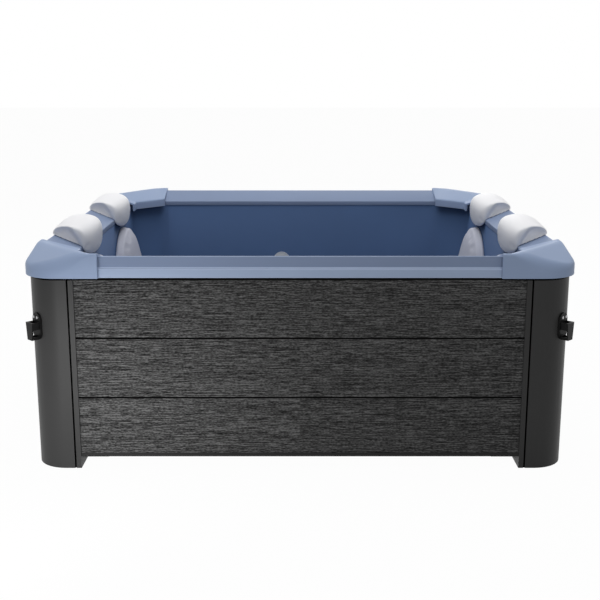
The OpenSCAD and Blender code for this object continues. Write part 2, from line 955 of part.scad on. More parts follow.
module heater_tube()
    color("#b8bcc2")
        translate([0, eq_y, heater_z])
            difference() {
                union() {
                    bar_x(heater_r, heater_x0, heater_x1);
                    bar_x(heater_r + 3, heater_x0, heater_x0 + 6);
                    bar_x(heater_r + 3, heater_x1 - 6, heater_x1);
                    bar_x(hose_r, heater_x0 - heater_neck, heater_x1 + heater_neck);
                }
                bar_x(heater_r - 3, heater_x0 + 6, heater_x1 - 6);
                bar_x(hose_r - hose_wall, heater_x0 - heater_neck - eps, heater_x1 + heater_neck + eps);
            }

module blower_body()
    color("#2f3134")
        translate([blower_x, eq_y, blower_z])
            difference() {
                union() {
                    bar_y(blower_r, -blower_depth / 2, blower_depth / 2);
                    translate([air_x - blower_x, 0, air_top - blower_z])
                        cylinder(h = blower_z - air_top, r = hose_r);
                }
                bar_y(blower_r - 5, 4 - blower_depth / 2, blower_depth / 2 - 4);
                bar_y(blower_r / 2, 0, blower_depth / 2 + eps);
                bar_y(shaft_r, -blower_depth / 2 + 1, 0);
                translate([air_x - blower_x, 0, air_top - blower_z - eps])
                    cylinder(h = blower_z - air_top, r = hose_r - hose_wall);
            }

module blower_wheel()
    color("#d7d9db")
        translate([blower_x, eq_y, blower_z]) {
            rim = blower_r - 14;
            low = 6 - blower_depth / 2;
            high = blower_depth / 2 - 8;
            blades = 18;
            bar_y(rim, low, low + 3);
            bar_y(shaft_r + 6, low, low + 20);
            bar_y(shaft_r - running_fit, 1 + fit - blower_depth / 2, low + eps);
            for (a = [1 : blades])
                rotate([0, a * 360 / blades, 0])
                    translate([rim - 12, low + 2, -1])
                        cube([11, high - low - 2, 2]);
            translate([0, high - 3, 0])
                rotate([-90, 0, 0])
                    difference() {
                        cylinder(h = 3, r = rim);
                        translate([0, 0, -eps])
                            cylinder(h = 3 + 2 * eps, r = rim - 8);
                    }
        }

// Hoses: filter to pump, pump to heater, heater to return fitting, blower to bubble ring
module hoses()
    color("#6d7278") {
        hose_skin()
            translate([inlet_x, tray_y, pump_z])
                quarter(elbow_r, $hose);
        hose_skin() {
            translate([discharge_x, eq_y, discharge_top])
                cylinder(h = heater_z - discharge_bend - discharge_top, r = $hose);
            translate([discharge_x - discharge_bend, eq_y, heater_z - discharge_bend])
                rotate([90, 0, 0])
                    quarter(discharge_bend, $hose);
        }
        hose_skin()
            translate([heater_x0 - heater_neck, tray_y, heater_z])
                rotate(90)
                    quarter(elbow_r, $hose);
        hose_skin() {
            translate([air_x, eq_y, air_z + elbow_r])
                cylinder(h = air_top - air_z - elbow_r, r = $hose);
            translate([air_x, tray_y, air_z + elbow_r])
                rotate([0, -90, 0])
                    rotate(90)
                        quarter(elbow_r, $hose);
        }
    }

// Draws children twice, as the outside and as the bore of a hose.
module hose_skin()
    difference() {
        union() {
            $hose = hose_r;
            children();
        }
        union() {
            $hose = hose_r - hose_wall;
            children();
        }
    }

// Fittings in the wall

flange_t = 6;

module filter_housing()
    color("#d5d8dc")
        translate([filter_x, 0, filter_z])
            difference() {
                base = hd - liner_inset;
                union() {
                    bar_y(filter_r + 10, base - flange_t, base);
                    bar_y(filter_r, base - flange_t - filter_len, base);
                    bar_y(stub_r, base - eps, tray_y);
                }
                bar_y(filter_r - filter_wall, base - flange_t - filter_len - eps, base - flange_t);
                bar_y(hose_r - hose_wall, base - flange_t - eps, tray_y + eps);
            }

module filter_cartridge()
    color("#f2f2ee")
        translate([filter_x, 0, filter_z])
            difference() {
                base = hd - liner_inset - flange_t;
                pleats = 24;
                union() {
                    bar_y(filter_r - filter_wall - 6, base - filter_len + 12, base - fit);
                    for (y = [base - filter_len + 10, base - 10 - fit])
                        bar_y(filter_r - filter_wall - 1, y, y + 10);
                }
                bar_y(filter_r / 3, base - filter_len, base);
                for (a = [1 : pleats])
                    rotate([0, a * 360 / pleats, 0])
                        block(
                            [filter_r - filter_wall - 12, base - filter_len + 20 + eps, -1.5],
                            [filter_r, base - 10 - fit - eps, 1.5]
                        );
            }

module filter_cap()
    color("#c2c6cc")
        translate([filter_x, 0, filter_z]) {
            mouth = hd - liner_inset - flange_t - filter_len - fit;
            skirt = 18;
            difference() {
                bar_y(filter_r + 5, mouth - 6, mouth + skirt);
                bar_y(filter_r + running_fit, mouth, mouth + skirt + eps);
                for (k = [-2 : 2])
                    block([k * 18 - 4, mouth - 7, -filter_r * 0.7], [k * 18 + 4, mouth + eps, -10]);
                for (k = [-2 : 2])
                    block([k * 18 - 4, mouth - 7, 10], [k * 18 + 4, mouth + eps, filter_r * 0.7]);
            }
            block([-filter_r * 0.8, mouth - 20, -6], [filter_r * 0.8, mouth - 6 + eps / 2, 6]);
        }

module return_fitting()
    color("#e4e6e8")
        translate([return_x, 0, heater_z])
            difference() {
                base = hd - liner_inset;
                lip = 3;
                bars = 3;
                union() {
                    bar_y(return_r, base - flange_t, base);
                    bar_y(return_r * 0.62, base - flange_t - lip, base);
                    bar_y(hose_r, base - eps, tray_y);
                }
                bar_y(hose_r - hose_wall, base - flange_t + 2, tray_y + eps);
                for (k = [0 : bars])
                    block(
                        [(2 * k - bars) * 4 - 2.5, base - flange_t - lip - eps, -return_r * 0.3],
                        [(2 * k - bars) * 4 + 2.5, base - flange_t + 2 + eps, return_r * 0.3]
                    );
            }

module drain_valve()
    color("#33363a")
        translate([drain_x, 0, drain_z])
            difference() {
                base = hd - liner_inset;
                union() {
                    bar_y(drain_r + 10, base - 4, base);
                    bar_y(drain_r, base - eps, hd - 6);
                    bar_y(drain_r + 12, hd - plank_inset, hd - plank_inset + 5);
                }
                bar_y(drain_r - 5, base - 4 - eps, hd);
            }

module drain_cap()
    color("#25272a")
        translate([drain_x, 0, drain_z])
            difference() {
                ribs = 16;
                foot = hd - plank_inset + 5 + fit;
                bar_y(drain_r + 6, foot, hd - 2);
                bar_y(drain_r + running_fit, foot - eps, hd - 6 + fit);
                for (a = [1 : ribs])
                    rotate([0, a * 360 / ribs, 0])
                        block([drain_r + 5, foot - eps, -1], [drain_r + 8, hd, 1]);
            }

// Control unit on the rear, with its display and buttons

control_face = hd - plank_inset + control_out;
control_sink = 4;
control_body_w = control_w - 40;
control_body_h = control_h - 36;
window_w = control_w - 60;
window_h = 34;
window_t = 2;
window_z = control_z + 16;
button_z = control_z - 22;
button_step = 40;
button_out = 3;
button_len = 9;

// The part of the control unit that passes through the plank, grown by g
module control_box(g, y0, y1)
    block(
        [-control_body_w / 2 - g, y0, control_z - control_body_h / 2 - g],
        [control_body_w / 2 + g, y1, control_z + control_body_h / 2 + g]
    );

module control_unit()
    color("#1f2124")
        difference() {
            union() {
                translate([0, hd - plank_inset, control_z])
                    rotate([-90, 0, 0])
                        linear_extrude(control_out)
                            control_face_plan(14);
                control_box(0, hd - tray_face + 10, control_face - eps);
            }
            block(
                [-window_w / 2, control_face - window_t, window_z - window_h / 2],
                [window_w / 2, control_face + eps, window_z + window_h / 2]
            );
            for (b = button_list)
                translate([b[1] * button_step, 0, button_z])
                    bar_y(button_r + running_fit, control_face - button_len, control_face + eps);
            for (x = [-1, 1], z = [-1, 1])
                translate([x * control_screw_x, 0, control_z + z * control_screw_z]) {
                    bar_y(screw_r + running_fit, hd - plank_inset - eps, control_face);
                    bar_y(screw_head_r + fit, control_face - control_sink, control_face + eps);
                }
        }

// Face of the control unit with round corners of radius r
module control_face_plan(r) {
    square([control_w - 2 * r, control_h], center = true);
    square([control_w, control_h - 2 * r], center = true);
    for (x = [-1, 1], z = [-1, 1])
        translate([x * (control_w / 2 - r), z * (control_h / 2 - r)])
            circle(r);
}

module display_window()
    color("#0e2a33")
        block(
            [fit - window_w / 2, control_face - window_t, window_z - window_h / 2 + fit],
            [window_w / 2 - fit, control_face, window_z + window_h / 2 - fit]
        );

module button(b)
    color("#e9ebee")
        translate([b[1] * button_step, 0, button_z])
            difference() {
                bar_y(button_r, control_face - button_len + button_travel + 2 * fit, control_face + button_out);
                bar_y(button_r * 0.6, control_face + button_out - 0.6, control_face + button_out + eps);
            }

// Nodes

for (c = corner_list)
    post(c);
sill_strips();
for (s = side_list, r = [0 : len(row_list) - 1])
    plank(s, r);
for (s = side_list)
    foam_board(s);
for (s = side_list)
    rim_rail(s);
for (c = corner_list)
    corner_cap(c);
for (p = seat_list)
    pillow(p);
for (p = seat_list)
    backrest(p);
cover_clips();
screws();
liner();
base_mat();
bubble_ring();
equipment_tray();
pump_body();
pump_impeller();
heater_tube();
blower_body();
blower_wheel();
hoses();
filter_housing();
filter_cartridge();
filter_cap();
return_fitting();
drain_valve();
drain_cap();
control_unit();
display_window();
for (b = button_list)
    button(b);
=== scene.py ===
"""Looks of a portable spa with planked panels, a foam rim and head pillows.

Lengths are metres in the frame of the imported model: the origin is on the ground in the middle of
the tub, +Z is up and the front faces -Y. A local corner frame has its origin where the outlines of
two outer faces meet, and x and y grow outwards. A local side frame has x along the side, and y
grows outwards.
"""

import json
import logging
import math
from dataclasses import dataclass, field
from enum import Enum
from typing import Any, Callable, Iterable, Sequence

import bmesh
import bpy
from bmesh.types import BMesh, BMEdge, BMFace, BMVert
from mathutils import Matrix, Vector

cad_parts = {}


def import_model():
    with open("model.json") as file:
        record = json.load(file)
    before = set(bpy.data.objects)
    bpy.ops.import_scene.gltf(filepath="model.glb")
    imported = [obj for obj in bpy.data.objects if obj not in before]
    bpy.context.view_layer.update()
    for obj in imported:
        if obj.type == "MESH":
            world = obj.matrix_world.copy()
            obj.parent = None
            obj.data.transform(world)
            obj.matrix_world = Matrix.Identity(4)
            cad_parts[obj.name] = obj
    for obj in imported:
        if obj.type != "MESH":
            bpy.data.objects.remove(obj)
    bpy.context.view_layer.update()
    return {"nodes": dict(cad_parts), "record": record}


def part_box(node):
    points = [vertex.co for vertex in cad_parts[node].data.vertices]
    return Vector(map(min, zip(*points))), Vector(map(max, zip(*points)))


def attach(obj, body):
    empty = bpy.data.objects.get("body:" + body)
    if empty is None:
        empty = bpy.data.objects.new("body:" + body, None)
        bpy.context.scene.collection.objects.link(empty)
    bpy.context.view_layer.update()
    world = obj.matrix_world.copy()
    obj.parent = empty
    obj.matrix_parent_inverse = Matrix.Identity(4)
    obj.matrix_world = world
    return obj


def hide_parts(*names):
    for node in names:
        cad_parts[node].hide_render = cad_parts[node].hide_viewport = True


LOG = logging.getLogger("spa")
FRAME_BODY = "frame"
PLANK_SLOT = "plank_grain"
MM = 0.001
# How far a curve's handles reach towards the corner that it rounds
ROUND_HANDLE = 0.56

Color = tuple[float, float, float]
Point2 = tuple[float, float]
Stretch = tuple[float, float, float]


class Corner(Enum):
    """The four corners of the tub, as the signs of x and y."""

    FRONT_LEFT = (-1, -1)
    FRONT_RIGHT = (1, -1)
    REAR_LEFT = (-1, 1)
    REAR_RIGHT = (1, 1)

    @property
    def label(self) -> str:
        """The corner's part of a node's name."""
        return self.name.lower()


class Side(Enum):
    """The four sides of the tub, as the turn from the rear side in degrees."""

    FRONT = 180
    REAR = 0
    LEFT = 90
    RIGHT = -90

    @property
    def label(self) -> str:
        """The side's part of a node's name."""
        return self.name.lower()

    @property
    def runs_along_x(self) -> bool:
        """Whether the side runs from left to right."""
        return self in (Side.FRONT, Side.REAR)


@dataclass(frozen=True)
class TubSizes:
    """Main sizes of the tub, taken from the boxes of its CAD nodes."""

    half_w: float
    half_d: float
    rim_base: float
    rail_top: float
    rail_run: float
    band_inset: float
    rail_in: float
    cap_top: float
    cap_leg_front: float
    cap_leg_side: float
    liner_inset: float
    liner_base: float
    liner_top: float
    sill_top: float
    plank_pitch: float
    post_out: float
    rim_drop: float = 42 * MM
    band_h: float = 33 * MM
    band_out: float = 7 * MM
    band_slope: float = 3 * MM
    cap_in: float = 144 * MM
    cap_r: float = 125 * MM
    liner_t: float = 3 * MM
    liner_chamfer: float = 130 * MM
    post_w: float = 162 * MM
    flange_w: float = 17 * MM
    groove_w: float = 5 * MM

    @classmethod
    def from_frame(cls) -> "TubSizes":
        """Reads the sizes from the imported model.

        Returns:
            The sizes, in metres.
        """
        cap_lo, cap_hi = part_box("corner_cap_rear_right")
        rail_lo, rail_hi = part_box("rim_rail_rear")
        liner_lo, liner_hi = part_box("liner")
        plank_lo, plank_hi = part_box("plank_front_low")
        _, post_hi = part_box("post_rear_right")
        return cls(
            half_w=cap_hi.x,
            half_d=cap_hi.y,
            rim_base=cap_lo.z,
            rail_top=rail_hi.z,
            rail_run=rail_hi.x,
            band_inset=cap_hi.y - rail_hi.y,
            rail_in=cap_hi.y - rail_lo.y,
            cap_top=cap_hi.z,
            cap_leg_front=cap_hi.x - cap_lo.x,
            cap_leg_side=cap_hi.y - cap_lo.y,
            liner_inset=cap_hi.x - liner_hi.x + cls.liner_t,
            liner_base=liner_lo.z,
            liner_top=liner_hi.z,
            sill_top=plank_lo.z,
            plank_pitch=plank_hi.z - plank_lo.z,
            post_out=post_hi.x,
        )

    @property
    def rail_inset(self) -> float:
        """Inset of a rail's upper outer face."""
        return self.band_inset + self.band_out

    @property
    def rail_in_z(self) -> float:
        """Height of a rail's inner top edge."""
        return self.rail_top - self.rim_drop

    @property
    def cap_in_z(self) -> float:
        """Height of a cap's inner top edge."""
        return self.cap_top - self.rim_drop

    @property
    def groove_place(self) -> float:
        """Distance of the middle of a post's groove from the middle of its side."""
        return self.post_out - self.post_w + self.flange_w + self.groove_w / 2

    def rail_z(self, y: float) -> float:
        """Height of a rail's top at a local y, level past its inner edge."""
        slope = self.rim_drop / (self.rail_in - self.rail_inset)
        return self.rail_top + (max(y, -self.rail_in) + self.rail_inset) * slope

    def corner_matrix(self, corner: Corner) -> Matrix:
        """The matrix from a local corner frame to the tub's frame."""
        sx, sy = corner.value
        place = Matrix.Translation((sx * self.half_w, sy * self.half_d, 0))
        return place @ Matrix.Diagonal((sx, sy, 1, 1))

    def side_matrix(self, side: Side) -> Matrix:
        """The matrix from a local side frame to the tub's frame."""
        depth = self.half_d if side.runs_along_x else self.half_w
        return Matrix.Rotation(math.radians(side.value), 4, "Z") @ Matrix.Translation((0, depth, 0))

    def seat_matrix(self, corner: Corner, place: float) -> Matrix:
        """The matrix from a local side frame to the seat nearest a corner.

        Args:
            corner: Corner that the seat is nearest to.
            place: Distance of the seat's middle from the middle of its rail.

        Returns:
            The matrix, which mirrors the right-hand seats.
        """
        sx, sy = corner.value
        flip = Matrix.Diagonal((-sx, 1, 1, 1))
        return flip @ self.side_matrix(Side.LEFT) @ Matrix.Translation((sy * place, 0, 0))


# Mesh helpers


def clamp(value: float) -> float:
    """A value kept between 0 and 1."""
    return min(1.0, max(0.0, value))


def smooth_step(value: float) -> float:
    """A smooth rise from 0 to 1 as a value goes from 0 to 1."""
    t = clamp(value)
    return t * t * (3 - 2 * t)


def bezier(points: Sequence[Point2], t: float) -> Point2:
    """The point at t on a cubic curve with four control points."""
    u = 1 - t
    weights = (u * u * u, 3 * u * u * t, 3 * u * t * t, t * t * t)
    return tuple(sum(w * p[k] for w, p in zip(weights, points)) for k in (0, 1))


def round_bend(start: Point2, corner: Point2, end: Point2, steps: int) -> list[Point2]:
    """Rounds a corner between two points.

    Args:
        start: Point where the curve leaves the first line.
        corner: Corner that the curve cuts off.
        end: Point where the curve meets the second line.
        steps: Number of steps along the curve.

    Returns:
        The curve's points, with both ends.
    """
    handles = [tuple(p + (q - p) * ROUND_HANDLE for p, q in zip(a, corner)) for a in (start, end)]
    return [bezier([start, *handles, end], k / steps) for k in range(steps + 1)]


def arc(center: Point2, radius: float, first: float, last: float, steps: int) -> list[Point2]:
    """Makes the points of an arc.

    Args:
        center: Its centre.
        radius: Its radius.
        first: Angle of its first point, in degrees.
        last: Angle of its last point, in degrees.
        steps: Number of steps along the arc.

    Returns:
        The arc's points, with both ends.
    """
    angles = [math.radians(first + (last - first) * k / steps) for k in range(steps + 1)]
    return [(center[0] + radius * math.cos(a), center[1] + radius * math.sin(a)) for a in angles]


def closed_loop(bm: BMesh, points: Sequence[Vector]) -> list[BMVert]:
    """Adds a closed loop of edges through some points.

    Args:
        bm: Mesh to add to.
        points: Points of the loop, in order.

    Returns:
        The loop's vertices, in order.
    """
    verts = [bm.verts.new(p) for p in points]
    for a, b in zip(verts, verts[1:] + verts[:1]):
        bm.edges.new((a, b))
    return verts


def loop_edges(loop: Sequence[BMVert]) -> list[BMEdge]:
    """The edges between neighbours of a closed loop of vertices."""
    pairs = zip(loop, list(loop[1:]) + [loop[0]])
    return [next(e for e in a.link_edges if e.other_vert(a) is b) for a, b in pairs]


def extrude_loop(bm: BMesh, loop: Sequence[BMVert], points: Sequence[Vector]) -> list[BMVert]:
    """Extrudes a closed loop once and puts the new loop on some points.

    Args:
        bm: Mesh that holds the loop.
        loop: Vertices of the loop, in order.
        points: Places of the new vertices, in the same order.

    Returns:
        The new loop's vertices, in order.
    """
    made = bmesh.ops.extrude_edge_only(bm, edges=loop_edges(loop))
    fresh = {g for g in made["geom"] if isinstance(g, BMVert)}
    ends = [next(e.other_vert(v) for e in v.link_edges if e.other_vert(v) in fresh) for v in loop]
    for vert, point in zip(ends, points):
        vert.co = point
    return ends


def loft(rings: Sequence[Sequence[Vector]]) -> BMesh:
    """Makes a closed skin over rings of equal length.

    Args:
        rings: Closed rings of points, from one end to the other.

    Returns:
        The mesh, with both ends filled.
    """
    bm = bmesh.new()
    loop = closed_loop(bm, rings[0])
    first = loop
    for ring in rings[1:]:
        loop = extrude_loop(bm, loop, ring)
    for end in (first, loop):
        bmesh.ops.edgeloop_fill(bm, edges=loop_edges(end))
    return bm


def sharp_edges(bm: BMesh, angle: float) -> list[BMEdge]:
    """The edges of a mesh between faces that meet at more than an angle in degrees."""
    limit = math.radians(angle)
    return [e for e in bm.edges if len(e.link_faces) == 2 and e.calc_face_angle(0) > limit]


def round_edges(bm: BMesh, edges: Sequence[BMEdge], radius: float, segments: int) -> list[BMFace]:
    """Rounds edges of a mesh.

    Args:
        bm: Mesh to change.
        edges: Edges to round.
        radius: Width of the rounding.
        segments: Steps across the rounding.

    Returns:
        The faces of the rounding.
    """
    made = bmesh.ops.bevel(
        bm,
        geom=list(edges),
        offset=radius,
        affect="EDGES",
        segments=segments,
        profile=0.5,
        material=-1,
        clamp_overlap=True,
    )
    return made["faces"]


def new_piece(name: str, bm: BMesh, crease: float = 40) -> bpy.types.Object:
    """Makes an object of a mesh, shaded smooth except along creases.

    Args:
        name: Name of the piece.
        bm: Mesh of the piece, freed here.
        crease: Angle in degrees past which an edge stays sharp.

    Returns:
        The object, at the origin.
    """
    bmesh.ops.recalc_face_normals(bm, faces=bm.faces)
    for face in bm.faces:
        face.smooth = True
    for edge in sharp_edges(bm, crease):
        edge.smooth = False
    mesh = bpy.data.meshes.new(name)
    bm.to_mesh(mesh)
    bm.free()
    piece = bpy.data.objects.new(name, mesh)
    bpy.context.scene.collection.objects.link(piece)
    return piece


def place_piece(
    piece: bpy.types.Object,
    body: str,
    node: str,
    materials: Sequence[bpy.types.Material],
) -> None:
    """Gives a piece its materials, its body and the node that it stands for.

    Args:
        piece: Piece to place.
        body: Body that it rides on.
        node: CAD node that it replaces.
        materials: Its materials, in slot order.
    """
    for material in materials:
        piece.data.materials.append(material)
    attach(piece, body)
    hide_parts(node)
    LOG.info("%s: %d faces on %s", piece.name, len(piece.data.polygons), body)


def evaluated_mesh(piece: bpy.types.Object) -> bpy.types.Mesh:
    """A new mesh of a piece with its modifiers applied."""
    graph = bpy.context.evaluated_depsgraph_get()
    return bpy.data.meshes.new_from_object(piece.evaluated_get(graph))


@dataclass(frozen=True)
class Swelling:
    """How a pad's plain skin becomes a soft, filled form."""

    voxel: float
    limit: float
    passes: int
    pressure: float = 4.0
    frames: int = 20

    def run(self, bm: BMesh, is_held: Callable[[Vector, Vector], bool]) -> BMesh:
        """Remeshes a closed skin evenly and lets it swell.

        Args:
            bm: Closed skin, freed here.
            is_held: Says of a point and its normal whether the point stays where it is.

        Returns:
            The soft form.
        """
        form = new_piece("soft_form", bm)
        voxels = form.modifiers.new("voxels", "REMESH")
        voxels.mode = "VOXEL"
        voxels.voxel_size = self.voxel
        even = evaluated_mesh(form)
        form.modifiers.remove(voxels)
        form.data = even
        self.swell(form, [v.index for v in even.vertices if is_held(v.co, v.normal)])
        result = bmesh.new()
        result.from_mesh(form.data)
        bpy.data.objects.remove(form)
        for _ in range(self.passes):
            bmesh.ops.smooth_vert(
                result,
                verts=result.verts,
                factor=0.5,
                use_axis_x=True,
                use_axis_y=True,
                use_axis_z=True,
            )
        return result

    def swell(self, form: bpy.types.Object, held: list[int]) -> None:
        """Swells a form by the pressure of its filling, up to the limit.

        Args:
            form: Form to swell, changed in place.
            held: Indices of the vertices that stay where they are.
        """
        scene = bpy.context.scene
        rest = [v.co.copy() for v in form.data.vertices]
        group = form.vertex_groups.new(name="held")
        group.add(held, 1.0, "REPLACE")
        cloth = form.modifiers.new("filling", "CLOTH")
        cloth.settings.use_pressure = True
        cloth.settings.uniform_pressure_force = self.pressure
        cloth.settings.effector_weights.gravity = 0
        cloth.settings.vertex_group_mass = group.name
        cloth.point_cache.frame_start = 1
        cloth.point_cache.frame_end = self.frames
        for number in range(1, self.frames + 1):
            scene.frame_set(number)
        moved = [v.co.copy() for v in evaluated_mesh(form).vertices]
        form.modifiers.remove(cloth)
        scene.frame_set(1)
        for vert, start, end in zip(form.data.vertices, rest, moved):
            step = end - start
            if step.length > self.limit:
                step *= self.limit / step.length
            vert.co = start + step


# Node helpers


class Board:
    """A node tree with short ways to add and join nodes."""

    def __init__(self, tree: bpy.types.NodeTree) -> None:
        """Clears the tree.

        Args:
            tree: Node tree to work on.
        """
        self.tree = tree
        tree.nodes.clear()

    def add(self, kind: str, inputs: dict[Any, Any] | None = None, **settings: Any) -> bpy.types.Node:
        """Adds a node.

        Args:
            kind: Blender's name of the node type.
            inputs: Socket name or number to a value, or to a socket that feeds it.
            settings: Further properties of the node.

        Returns:
            The node.
        """
        node = self.tree.nodes.new(kind)
        for key, value in settings.items():
            setattr(node, key, value)
        for key, value in (inputs or {}).items():
            if isinstance(value, bpy.types.NodeSocket):
                self.tree.links.new(value, node.inputs[key])
            else:
                node.inputs[key].default_value = value
        return node

    def math(self, operation: str, a: Any, b: Any = 0.0) -> bpy.types.NodeSocket:
        """Adds a Math node and gives its result."""
        return self.add("ShaderNodeMath", {0: a, 1: b}, operation=operation).outputs[0]

    def noise(
        self, vector: Any, scale: Any, detail: float, roughness: float = 0.5
    ) -> bpy.types.NodeSocket:
        """Adds a Noise texture and gives its value."""
        inputs = {"Vector": vector, "Scale": scale, "Detail": detail, "Roughness": roughness}
        return self.add("ShaderNodeTexNoise", inputs).outputs[0]

    def mix(self, a: Any, b: Any, share: float) -> bpy.types.NodeSocket:
        """Adds nodes that blend two values, with a share of the second, and gives the result."""
        rest = self.math("MULTIPLY", a, 1 - share)
        return self.math("ADD", self.math("MULTIPLY", b, share), rest)

    def remap(self, value: Any, lo: float, hi: float, to_lo: Any, to_hi: Any) -> bpy.types.NodeSocket:
        """Adds a clamped Map Range node and gives its result."""
        return self.add("ShaderNodeMapRange", {0: value, 1: lo, 2: hi, 3: to_lo, 4: to_hi}).outputs[0]

    def stretch(self, vector: Any, scale: Sequence[float]) -> bpy.types.NodeSocket:
        """Adds a Mapping node that scales a vector and gives its result."""
        return self.add("ShaderNodeMapping", {"Vector": vector, "Scale": scale}).outputs[0]

    def ramp(self, value: Any, stops: Sequence[tuple[float, Color]]) -> bpy.types.NodeSocket:
        """Adds a Color Ramp node.

        Args:
            value: Socket that drives the ramp.
            stops: Positions and colours, in order.

        Returns:
            The colour's socket.
        """
        node = self.add("ShaderNodeValToRGB", {0: value})
        elements = node.color_ramp.elements
        while len(elements) < len(stops):
            elements.new(1.0)
        for element, (position, color) in zip(elements, stops):
            element.position = position
            element.color = (*color, 1.0)
        return node.outputs[0]

    def shader(
        self, color: Any, gloss: Any, height: Any, bump: float, relief: float
    ) -> bpy.types.Node:
        """Adds a bumpy Principled shader and joins it to the material's output.

        Args:
            color: Socket of the colour.
            gloss: Socket of the roughness.
            height: Socket of the bump's height.
            bump: Strength of the bump.
            relief: Depth of the bump.

        Returns:
            The shader's node.
        """
        waves = self.add("ShaderNodeBump", {"Strength": bump, "Distance": relief, "Height": height})
        inputs = {"Base Color": color, "Roughness": gloss, "Normal": waves.outputs[0]}
        shader = self.add("ShaderNodeBsdfPrincipled", inputs)
        self.add("ShaderNodeOutputMaterial", {"Surface": shader.outputs[0]})
        return shader


def new_material(name: str) -> tuple[bpy.types.Material, Board]:
    """A new material and the empty board of its nodes."""
    material = bpy.data.materials.new(name)
    material.use_nodes = True
    return material, Board(material.node_tree)


def node_group(
    name: str, inputs: Sequence[tuple[str, str]], outputs: Sequence[str]
) -> tuple[Board, bpy.types.Node, bpy.types.Node]:
    """Starts a shader node group.

    Args:
        name: Name of the group.
        inputs: Names and socket kinds of its inputs.
        outputs: Names of its outputs, all of them values.

    Returns:
        The board, the node of the inputs and the node of the outputs.
    """
    tree = bpy.data.node_groups.new(name, "ShaderNodeTree")
    for label, kind in inputs:
        tree.interface.new_socket(label, in_out="INPUT", socket_type=kind)
    for label in outputs:
        tree.interface.new_socket(label, in_out="OUTPUT", socket_type="NodeSocketFloat")
    board = Board(tree)
    return board, board.add("NodeGroupInput"), board.add("NodeGroupOutput")


class Grain(Enum):
    """Direction in which a plank's grain runs."""

    ALONG_X = 0.0
    ALONG_Y = 1.0


# Stretch of each layer of the grain along x, y and z, in waves per metre, and its weight
STREAK_WEIGHTS = {
    (110, 1, 300): 0.26,
    (28, 1, 330): 0.31,
    (9, 1, 300): 0.23,
    (2.5, 1, 270): 0.16,
    (1.1, 1, 26): 0.04,
}


